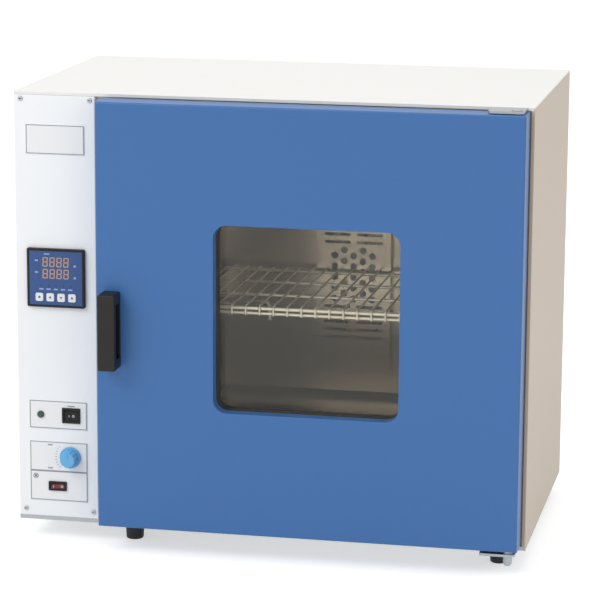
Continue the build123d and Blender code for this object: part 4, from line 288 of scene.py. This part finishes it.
NODE_FINISHES: dict[str, Finish | PaneFinish] = {
    "base_pan": ZINC_SHEET, "feet": BLACK_RUBBER, "foot_screws": SCREW_STEEL, "top_panel": CASE_WHITE,
    "left_side_panel": SIDE_SHADED_BEIGE, "right_side_panel": SIDE_SHADED_BEIGE, "back_panel": ZINC_SHEET,
    "front_frame": FRAME_SHADED_BEIGE, "partition_panel": ZINC_SHEET, "chamber_liner": CHAMBER_STEEL,
    "insulation": MINERAL_WOOL, "duct_plate": CHAMBER_STEEL, "shelf_runners": STAINLESS,
    "wire_shelf": WIRE_PAINTED_SHEEN, "heater_element": DARK_SHEATH, "fan_motor": MOTOR_PAINT,
    "motor_cover": ZINC_SHEET, "cover_screws": SCREW_STEEL, "temperature_probe": STAINLESS,
    "control_panel": PANEL_WHITE, "panel_rails": ZINC_SHEET, "panel_screws": SCREW_STEEL,
    "controller_housing": BLACK_PLASTIC, "controller_face": FACE_BLUE, "display_lens": LENS_SMOKE,
    "status_lamps": LED_DULL, "blank_plate": PLATE_WHITE, "power_plate": PLATE_WHITE,
    "damper_plate": PLATE_WHITE, "fan_plate": PLATE_WHITE, "power_switch_housing": BLACK_PLASTIC,
    "fan_switch_housing": BLACK_PLASTIC, "pilot_lamp": LAMP_GREEN, "solid_state_relay": BLACK_PLASTIC,
    "cable_gland": GLAND_GREY, "hinge_brackets": HINGE_STEEL, "hinge_screws": SCREW_STEEL,
    "hinge_pins": HINGE_STEEL, "door_seal": SILICONE, "magnet_catch": MAGNET_DARK,
    "door_skin": DOOR_BLUE, "door_inner_plate": STAINLESS, "door_insulation": MINERAL_WOOL,
    "window_gasket": DARK_SILICONE, "window_panes": GLASS, "door_handle": HANDLE_BLACK,
    "handle_screws": SCREW_STEEL, "hinge_blocks": HINGE_STEEL, "keeper_plate": STAINLESS,
    "key_set": WHITE_PLASTIC, "key_shift": WHITE_PLASTIC, "key_down": WHITE_PLASTIC,
    "key_up": WHITE_PLASTIC, "power_rocker": BLACK_PLASTIC, "fan_rocker": ROCKER_RED,
    "damper_knob": KNOB_BLUE, "damper_rod": SCREW_STEEL, "air_shutter": ZINC_SHEET,
    "fan_wheel": FAN_ALUMINIUM, "motor_shaft": HINGE_STEEL,
}


def publish(name: str, mesh: bmesh.types.BMesh, finish: Finish, body: Body) -> None:
    """Turn a finished bmesh into a piece that rides on a body.

    Args:
        name: The piece's name.
        mesh: Its shape, where it stands in the model. It is freed here.
        finish: Its finish.
        body: The body that it moves with.
    """
    data = bpy.data.meshes.new(name)
    mesh.to_mesh(data)
    mesh.free()
    data.materials.append(finish.material())
    piece = bpy.data.objects.new(name, data)
    bpy.context.scene.collection.objects.link(piece)
    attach(piece, body.value)
    LOG.info("%s rides on %s", name, body.value)


def add_box(mesh: bmesh.types.BMesh, low: Point, high: Point) -> None:
    """Add a box between two corners.

    Args:
        mesh: The bmesh that it goes into.
        low: Its lowest corner.
        high: Its highest corner.
    """
    size = [b - a for a, b in zip(low, high)]
    middle = [(a + b) / 2 for a, b in zip(low, high)]
    place = Matrix.Translation(middle) @ Matrix.Diagonal((*size, 1.0))
    bmesh.ops.create_cube(mesh, size=1.0, matrix=place)


def add_ring(mesh: bmesh.types.BMesh, spot: Matrix, radius: float, band: float) -> None:
    """Add a flat ring in the X and Z directions of a place, by spinning its section.

    Args:
        mesh: The bmesh that it goes into.
        spot: Its place and tilt.
        radius: Its outer radius.
        band: Width of its band.
    """
    section = Matrix.Translation((radius - band / 2, 0.0, 0.0)) @ Matrix.Diagonal(
        (band, MARK_THICKNESS, RING_SEED, 1.0))
    made = bmesh.ops.create_cube(mesh, size=1.0, matrix=section)
    ends = [f for f in {f for v in made["verts"] for f in v.link_faces} if abs(f.normal.z) > 0.9]
    bmesh.ops.delete(mesh, geom=ends, context="FACES_ONLY")
    loop = [v for v in made["verts"] if v.co.z > 0]
    spare = [v for v in made["verts"] if v.co.z <= 0]
    bmesh.ops.delete(mesh, geom=spare, context="VERTS")
    edges = list({e for v in loop for e in v.link_edges})
    for v in loop:
        v.co.z = 0.0
    bmesh.ops.spin(mesh, geom=loop + edges, cent=(0, 0, 0), axis=(0, 1, 0), dvec=(0, 0, 0),
                   angle=math.tau, steps=RING_STEPS, use_merge=True)
    ring = {v for v in loop if v.is_valid}
    grown = True
    while grown:
        more = {e.other_vert(v) for v in ring for e in v.link_edges} - ring
        grown = bool(more)
        ring |= more
    bmesh.ops.recalc_face_normals(mesh, faces=list({f for v in ring for f in v.link_faces}))
    bmesh.ops.transform(mesh, matrix=spot, verts=list(ring))


def facing(x: float, y: float, z: float, turn: float) -> Matrix:
    """Place a flat shape so that it faces the front, turned by some degrees in its own plane."""
    upright = Matrix.Rotation(math.radians(90), 4, "X")
    spin = Matrix.Rotation(math.radians(turn), 4, "Z")
    return Matrix.Translation((x, y, z)) @ upright @ spin


@dataclass
class Shell:
    """The CAD nodes: every one of them gets its finish."""

    finishes: dict[str, Finish | PaneFinish] = field(default_factory=lambda: dict(NODE_FINISHES))

    def dress(self, nodes: dict[str, bpy.types.Object]) -> None:
        """Give each CAD node its material.

        Args:
            nodes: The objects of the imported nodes, by name.
        """
        for name, node in nodes.items():
            finish = self.finishes[name].material()
            if not node.material_slots:
                node.data.materials.append(finish)
            for place in node.material_slots:
                place.material = finish
        LOG.info("finishes on %d nodes", len(nodes))


@dataclass(frozen=True)
class Dash:
    """A short flat bar of ink, with its centre to the right of and above a point of reference."""

    right: float
    rise: float
    width: float
    height: float

    def add(self, mesh: bmesh.types.BMesh, x: float, front: float, z: float) -> None:
        """Add the bar in front of a face.

        Args:
            mesh: The bmesh that it goes into.
            x: Place of the reference point across the face.
            front: Depth of the face.
            z: Height of the reference point.
        """
        middle, level = x + self.right, z + self.rise
        add_box(mesh, (middle - self.width / 2, front - INK, level - self.height / 2),
                (middle + self.width / 2, front, level + self.height / 2))


@dataclass
class SevenSegments:
    """A row of flat digits made of seven bars each."""

    width: float = 6.6 * MM
    height: float = 11.8 * MM
    bar: float = 1.35 * MM
    gap_share: float = 0.12
    slant: float = 0.05
    pitch: float = 8.7 * MM
    thickness: float = 0.12 * MM

    def add(self, mesh: bmesh.types.BMesh, x: float, y: float, z: float, count: int) -> None:
        """Add a row of eights.

        Args:
            mesh: The bmesh that the bars go into.
            x: Middle of the row.
            y: Front of the lens that they lie on.
            z: Middle height of the row.
            count: Number of digits.
        """
        for i in range(count):
            middle = x + (i - (count - 1) / 2) * self.pitch
            for cx, cz, wide, tall in self._bars():
                place = Matrix.Translation((cx, 0.0, cz))
                made = bmesh.ops.create_cube(
                    mesh, size=1.0, matrix=place @ Matrix.Diagonal((wide, self.thickness, tall, 1.0)))
                for v in made["verts"]:
                    v.co.x += middle + v.co.z * self.slant
                    v.co.y += y - self.thickness / 2
                    v.co.z += z

    def _bars(self) -> list[tuple[float, float, float, float]]:
        """Lay out the seven bars of a digit.

        Returns:
            The centre, the width and the height of each bar, from the digit's middle.
        """
        gap = self.bar * self.gap_share
        half_w, half_h = self.width / 2, self.height / 2
        level = self.width - self.bar - 2 * gap
        upright = half_h - self.bar / 2 - 2 * gap
        bars = [(0.0, cz, level, self.bar) for cz in (half_h - self.bar / 2, 0.0, self.bar / 2 - half_h)]
        bars += [(sx * (half_w - self.bar / 2), sz * half_h / 2, self.bar, upright)
                 for sx in (-1, 1) for sz in (-1, 1)]
        return bars

    def shade(self, mesh: bmesh.types.BMesh, x: float, y: float, z: float, count: int) -> None:
        """Add a dark flat ground behind each digit of a row.

        Args:
            mesh: The bmesh that the grounds go into.
            x: Middle of the row.
            y: Front of the lens that they lie on.
            z: Middle height of the row.
            count: Number of digits.
        """
        for i in range(count):
            middle = x + (i - (count - 1) / 2) * self.pitch
            add_box(mesh, (middle - self.width / 2, y - self.thickness / 3, z - self.height / 2),
                    (middle + self.width / 2, y, z + self.height / 2))


@dataclass
class Controller:
    """The digits, the ink and the key marks of the temperature controller."""

    digits: SevenSegments = field(default_factory=SevenSegments)
    digits_per_row: int = 4
    row_drops: tuple[float, float] = (16.4 * MM, 30.8 * MM)
    row_label: Dash = Dash(-23.8 * MM, 1.6 * MM, 4.0 * MM, 2.0 * MM)
    row_unit: Dash = Dash(24.0 * MM, -4.0 * MM, 3.0 * MM, 2.6 * MM)
    heading: Dash = Dash(-11.0 * MM, -6.6 * MM, 7.0 * MM, 1.5 * MM)
    lamp_label: Dash = Dash(0.0, -49.6 * MM, 5.4 * MM, 1.8 * MM)
    lamp_count: int = 5
    lamp_pitch: float = 9.0 * MM
    dot: float = 1.5 * MM
    dot_sides: int = 20
    arrow: float = 2.1 * MM

    def build(self) -> None:
        """Build the controller's marks."""
        low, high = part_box("display_lens")
        _, bezel_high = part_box("controller_housing")
        face_low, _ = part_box("controller_face")
        x, front, top = (low[0] + high[0]) / 2, face_low[1], bezel_high[2]
        rows, grounds, ink = bmesh.new(), bmesh.new(), bmesh.new()
        for drop in self.row_drops:
            self.digits.add(rows, x, low[1], top - drop, self.digits_per_row)
            self.digits.shade(grounds, x, low[1], top - drop, self.digits_per_row)
            self.row_label.add(ink, x, front, top - drop)
            self.row_unit.add(ink, x, front, top - drop)
        for i in range(self.lamp_count):
            self.lamp_label.add(ink, x + (i - (self.lamp_count - 1) / 2) * self.lamp_pitch, front, top)
        self.heading.add(ink, x, front, top)
        publish("display_digits", rows, DIGIT_PALE, Body.CASE)
        publish("display_digit_grounds", grounds, DIGIT_SHADE, Body.CASE)
        publish("controller_face_ink", ink, SKY_INK, Body.CASE)
        self._key_marks()

    def _key_marks(self) -> None:
        """Add the dot of the set key and the arrows of the other three."""
        plans = {
            "key_set": (Body.SET_KEY, self.dot, self.dot_sides, 0.0),
            "key_shift": (Body.SHIFT_KEY, self.arrow, 3, 90.0),
            "key_down": (Body.DOWN_KEY, self.arrow, 3, 180.0),
            "key_up": (Body.UP_KEY, self.arrow, 3, 0.0),
        }
        for node, (body, radius, sides, turn) in plans.items():
            low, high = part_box(node)
            place = facing((low[0] + high[0]) / 2, low[1] - INK / 2, (low[2] + high[2]) / 2, turn)
            mark = bmesh.new()
            bmesh.ops.create_cone(mark, cap_ends=True, segments=sides, radius1=radius, radius2=radius,
                                  depth=INK, matrix=place)
            publish(f"{node}_mark", mark, DARK_INK, body)


@dataclass
class PlateBorders:
    """Thin grey frames round the fronts of the plates."""

    nodes: tuple[str, ...] = ("blank_plate", "power_plate", "damper_plate", "fan_plate")
    band: float = 1.0 * MM
    proud: float = 0.15 * MM

    def build(self) -> None:
        """Add a frame round the edge of each plate's front."""
        for node in self.nodes:
            low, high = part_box(node)
            ring = bmesh.new()
            b, front = self.band, low[1]
            for x0, x1, z0, z1 in (
                (low[0], high[0], high[2] - b, high[2]),
                (low[0], high[0], low[2], low[2] + b),
                (low[0], low[0] + b, low[2] + b, high[2] - b),
                (high[0] - b, high[0], low[2] + b, high[2] - b),
            ):
                add_box(ring, (x0, front - self.proud, z0), (x1, front, z1))
            publish(f"{node}_border", ring, PLATE_RIM, Body.CASE)


@dataclass
class DamperScale:
    """The bent scale left of the damper knob, with a bar at each of its ends."""

    reach: float = 18.4 * MM
    ticks: int = 9
    start: float = 138.0
    sweep: float = 84.0
    tick_length: float = 1.4 * MM
    tick_growth: float = 0.28 * MM
    tick_height: float = 0.55 * MM
    end_rise: float = 14.6 * MM
    end_bar: Dash = Dash(-25.7 * MM, 0.0, 5.8 * MM, 1.4 * MM)

    def build(self) -> None:
        """Add the ticks, each longer than the one before, and the two bars."""
        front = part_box("damper_plate")[0][1]
        low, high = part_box("damper_knob")
        x, z = (low[0] + high[0]) / 2, (low[2] + high[2]) / 2
        marks = bmesh.new()
        for i in range(self.ticks):
            angle = math.radians(self.start + self.sweep * i / (self.ticks - 1))
            size = (self.tick_length + self.tick_growth * i, INK, self.tick_height, 1.0)
            place = Matrix.Translation((x + self.reach * math.cos(angle), front - INK / 2,
                                        z + self.reach * math.sin(angle)))
            turned = place @ Matrix.Rotation(-angle, 4, "Y")
            bmesh.ops.create_cube(marks, size=1.0, matrix=turned @ Matrix.Diagonal(size))
        for rise in (-self.end_rise, self.end_rise):
            self.end_bar.add(marks, x, front, z + rise)
        publish("damper_plate_scale", marks, GREY_INK, Body.CASE)


@dataclass
class FanSign:
    """A small ringed fan at the upper left of the fan plate."""

    inset: float = 6.8 * MM
    blades: int = 4
    blade_reach: float = 1.25 * MM
    blade_radius: float = 1.15 * MM
    blade_sides: int = 14
    squash: float = 0.6
    radius: float = 3.3 * MM
    band: float = 0.7 * MM

    def build(self) -> None:
        """Add the oval blades and the ring round them."""
        low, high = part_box("fan_plate")
        x, y, z = low[0] + self.inset, low[1] - INK / 2, high[2] - self.inset
        sign = bmesh.new()
        for i in range(self.blades):
            turn = 360.0 * i / self.blades + 45.0
            angle = math.radians(turn)
            place = facing(x + self.blade_reach * math.cos(angle), y,
                           z + self.blade_reach * math.sin(angle), turn)
            bmesh.ops.create_cone(sign, cap_ends=True, segments=self.blade_sides, radius1=self.blade_radius,
                                  radius2=self.blade_radius, depth=INK,
                                  matrix=place @ Matrix.Diagonal((1.0, self.squash, 1.0, 1.0)))
        add_ring(sign, Matrix.Translation((x, y, z)), self.radius, self.band)
        publish("fan_plate_sign", sign, DARK_INK, Body.CASE)


@dataclass(frozen=True)
class Rocker:
    """A rocker, the body that it is, and how far its marks lie from its pivot."""

    node: str
    body: Body
    spread: float


@dataclass
class RockerMarks:
    """The line and the ring that mark the two halves of each rocker."""

    rockers: tuple[Rocker, ...] = (
        Rocker("power_rocker", Body.POWER_SWITCH, 2.6 * MM),
        Rocker("fan_rocker", Body.FAN_SWITCH, 5.2 * MM),
    )
    tilt: float = 10.0
    pivot_depth: float = 2.5 * MM
    line_width: float = 0.55 * MM
    line_height: float = 3.0 * MM
    ring: float = 1.5 * MM
    band: float = 0.5 * MM

    def build(self) -> None:
        """Add the marks on the tilted faces of the rockers."""
        tilt = math.radians(self.tilt)
        lean = Matrix.Rotation(tilt, 4, "Z")
        line = Matrix.Diagonal((self.line_width, MARK_THICKNESS, self.line_height, 1.0))
        for rocker in self.rockers:
            low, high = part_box(rocker.node)
            housing_low, housing_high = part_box(rocker.node.replace("rocker", "switch_housing"))
            pivot = Matrix.Translation(((housing_low[0] + housing_high[0]) / 2,
                                        housing_low[1] + self.pivot_depth, (low[2] + high[2]) / 2))
            depth = -(self.pivot_depth + math.tan(tilt) * rocker.spread)
            marks = bmesh.new()
            for side in (-1, 1):
                along = Matrix.Translation((side * rocker.spread, depth, 0.0))
                spot = pivot @ lean @ along @ Matrix.Rotation(-side * tilt, 4, "Z")
                if side < 0:
                    bmesh.ops.create_cube(marks, size=1.0, matrix=spot @ line)
                else:
                    add_ring(marks, spot, self.ring, self.band)
            publish(f"{rocker.node}_marks", marks, WHITE_INK, rocker.body)


@dataclass
class SwitchBar:
    """A short printed bar over the power switch."""

    bar: Dash = Dash(0.0, 2.2 * MM, 9.0 * MM, 1.2 * MM)

    def build(self) -> None:
        """Add the bar on the power plate."""
        low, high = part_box("power_switch_housing")
        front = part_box("power_plate")[0][1]
        ink = bmesh.new()
        self.bar.add(ink, (low[0] + high[0]) / 2, front, high[2])
        publish("power_plate_bar", ink, GREY_INK, Body.CASE)


@dataclass
class Screws:
    """Painted shade in the cross recesses of the panel screws, at the front, and of the cover screws, at
    the back.
    """

    inset: float = 3.0 * MM
    lift: float = 0.02 * MM
    half_thickness: float = 0.03 * MM
    arm: float = 1.7 * MM
    band: float = 0.55 * MM

    def build(self) -> None:
        """Add a dark cross of painted shade on each visible screw head."""
        for node, name, side in (("panel_screws", "panel_screw_recess_shade", -1),
                                 ("cover_screws", "cover_screw_recess_shade", 1)):
            low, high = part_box(node)
            head = low[1] if side < 0 else high[1]
            crosses = bmesh.new()
            for x in (low[0] + self.inset, high[0] - self.inset):
                for z in (low[2] + self.inset, high[2] - self.inset):
                    self._cross(crosses, x, head + side * self.lift, z)
            publish(name, crosses, RECESS_SHADE, Body.CASE)

    def _cross(self, mesh: bmesh.types.BMesh, x: float, y: float, z: float) -> None:
        """Add a cross at depth y, twice as wide as it is tall."""
        t = self.half_thickness
        for half_wide, tall in ((self.arm, self.band), (self.band, self.arm)):
            add_box(mesh, (x - half_wide, y - t, z - tall / 2), (x + half_wide, y + t, z + tall / 2))


@dataclass(frozen=True)
class Lamp:
    """A square soft lamp: its place, the point it faces, its side in metres and its power in watts."""

    name: str
    place: Point
    target: Point
    size: float
    power: float

    def hang(self) -> None:
        """Add the lamp to the scene."""
        light = bpy.data.lights.new(self.name, "AREA")
        light.size = self.size
        light.energy = self.power
        lamp = bpy.data.objects.new(self.name, light)
        lamp.location = self.place
        aim = Vector(self.target) - Vector(self.place)
        lamp.rotation_euler = aim.to_track_quat("-Z", "Y").to_euler()
        bpy.context.scene.collection.objects.link(lamp)


@dataclass
class Studio:
    """Floor, light and camera."""

    camera_place: Point = (0.67935, -3.2853, 0.9818)
    yaw: float = 0.2032
    pitch: float = 0.2067
    roll: float = -0.006
    lens: float = 164.4
    sensor: float = 36.0
    floor_size: float = 40.0
    floor_grey: float = 0.86
    floor_roughness: float = 0.9
    floor_shine: float = 0.1
    floor_lift: float = 0.5
    sky: float = 0.66
    lamps: tuple[Lamp, ...] = (
        Lamp("key_light", (-2.6, -3.4, 3.6), (0.0, 0.0, 0.25), 2.6, 86.0),
        Lamp("fill_light", (3.2, -2.6, 1.8), (0.0, 0.0, 0.25), 2.4, 12.0),
        Lamp("top_light", (0.2, 0.6, 3.4), (0.0, 0.0, 0.3), 2.6, 18.0),
    )

    def build(self) -> None:
        """Build the stage, the light and the camera."""
        self._floor()
        self._world()
        for lamp in self.lamps:
            lamp.hang()
        self._camera()

    def _floor(self) -> None:
        """Build a plain white floor that shows white to the camera and keeps the shadow."""
        shape = bmesh.new()
        bmesh.ops.create_grid(shape, x_segments=1, y_segments=1, size=self.floor_size / 2)
        data = bpy.data.meshes.new("floor")
        shape.to_mesh(data)
        shape.free()
        floor = bpy.data.objects.new("floor", data)
        bpy.context.scene.collection.objects.link(floor)
        made = bpy.data.materials.new("floor_white")
        made.use_nodes = True
        tree = made.node_tree
        shader = tree.nodes["Principled BSDF"]
        shader.inputs["Base Color"].default_value = (*[self.floor_grey] * 3, 1.0)
        shader.inputs["Roughness"].default_value = self.floor_roughness
        shader.inputs["Specular IOR Level"].default_value = self.floor_shine
        shader.inputs["Emission Color"].default_value = WHITE_LIGHT
        tree.links.new(self._seen(tree, 0.0, self.floor_lift), shader.inputs["Emission Strength"])
        data.materials.append(made)

    def _world(self) -> None:
        """Set a soft, even world that shows white to the camera and in reflections."""
        world = bpy.data.worlds.new("studio")
        bpy.context.scene.world = world
        world.use_nodes = True
        tree = world.node_tree
        back = tree.nodes["Background"]
        back.inputs["Color"].default_value = WHITE_LIGHT
        tree.links.new(self._seen(tree, self.sky, 1.0), back.inputs["Strength"])

    def _seen(self, tree: bpy.types.NodeTree, unseen: float, seen: float) -> bpy.types.NodeSocket:
        """Make a level that differs between light that is seen or mirrored and light that falls on things.

        Args:
            tree: The node tree that it goes into.
            unseen: The level for light that falls on things.
            seen: The level for rays from the camera, and through or off glass and metal.

        Returns:
            The socket that gives the level.
        """
        path = tree.nodes.new("ShaderNodeLightPath")
        level = tree.nodes.new("ShaderNodeMapRange")
        level.inputs["To Min"].default_value = unseen
        level.inputs["To Max"].default_value = seen
        last = path.outputs["Is Camera Ray"]
        for name in ("Is Glossy Ray", "Is Transmission Ray"):
            larger = tree.nodes.new("ShaderNodeMath")
            larger.operation = "MAXIMUM"
            tree.links.new(last, larger.inputs[0])
            tree.links.new(path.outputs[name], larger.inputs[1])
            last = larger.outputs["Value"]
        tree.links.new(last, level.inputs["Value"])
        return level.outputs["Result"]

    def _camera(self) -> None:
        """Place the camera at the photograph's viewing angle."""
        forward = Vector((-math.sin(self.yaw) * math.cos(self.pitch),
                          math.cos(self.yaw) * math.cos(self.pitch), -math.sin(self.pitch)))
        right = Vector((math.cos(self.yaw), math.sin(self.yaw), 0.0))
        down = forward.cross(right)
        turned_right = math.cos(self.roll) * right + math.sin(self.roll) * down
        turned_down = -math.sin(self.roll) * right + math.cos(self.roll) * down
        lens = bpy.data.cameras.new("camera")
        lens.sensor_width = self.sensor
        lens.lens = self.lens
        camera = bpy.data.objects.new("camera", lens)
        turn = Matrix((turned_right, -turned_down, -forward)).transposed().to_4x4()
        camera.matrix_world = Matrix.Translation(self.camera_place) @ turn
        bpy.context.scene.collection.objects.link(camera)
        bpy.context.scene.camera = camera


def main() -> None:
    """Load the frame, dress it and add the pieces."""
    logging.basicConfig(level=logging.INFO, format="%(name)s: %(message)s")
    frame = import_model()
    bpy.context.scene.view_settings.view_transform = "Standard"
    Shell().dress(frame["nodes"])
    steps: tuple[Callable[[], None], ...] = (
        Controller().build, PlateBorders().build, DamperScale().build, FanSign().build,
        RockerMarks().build, SwitchBar().build, Screws().build, Studio().build,
    )
    for build in steps:
        build()


if __name__ == "__main__":
    main()
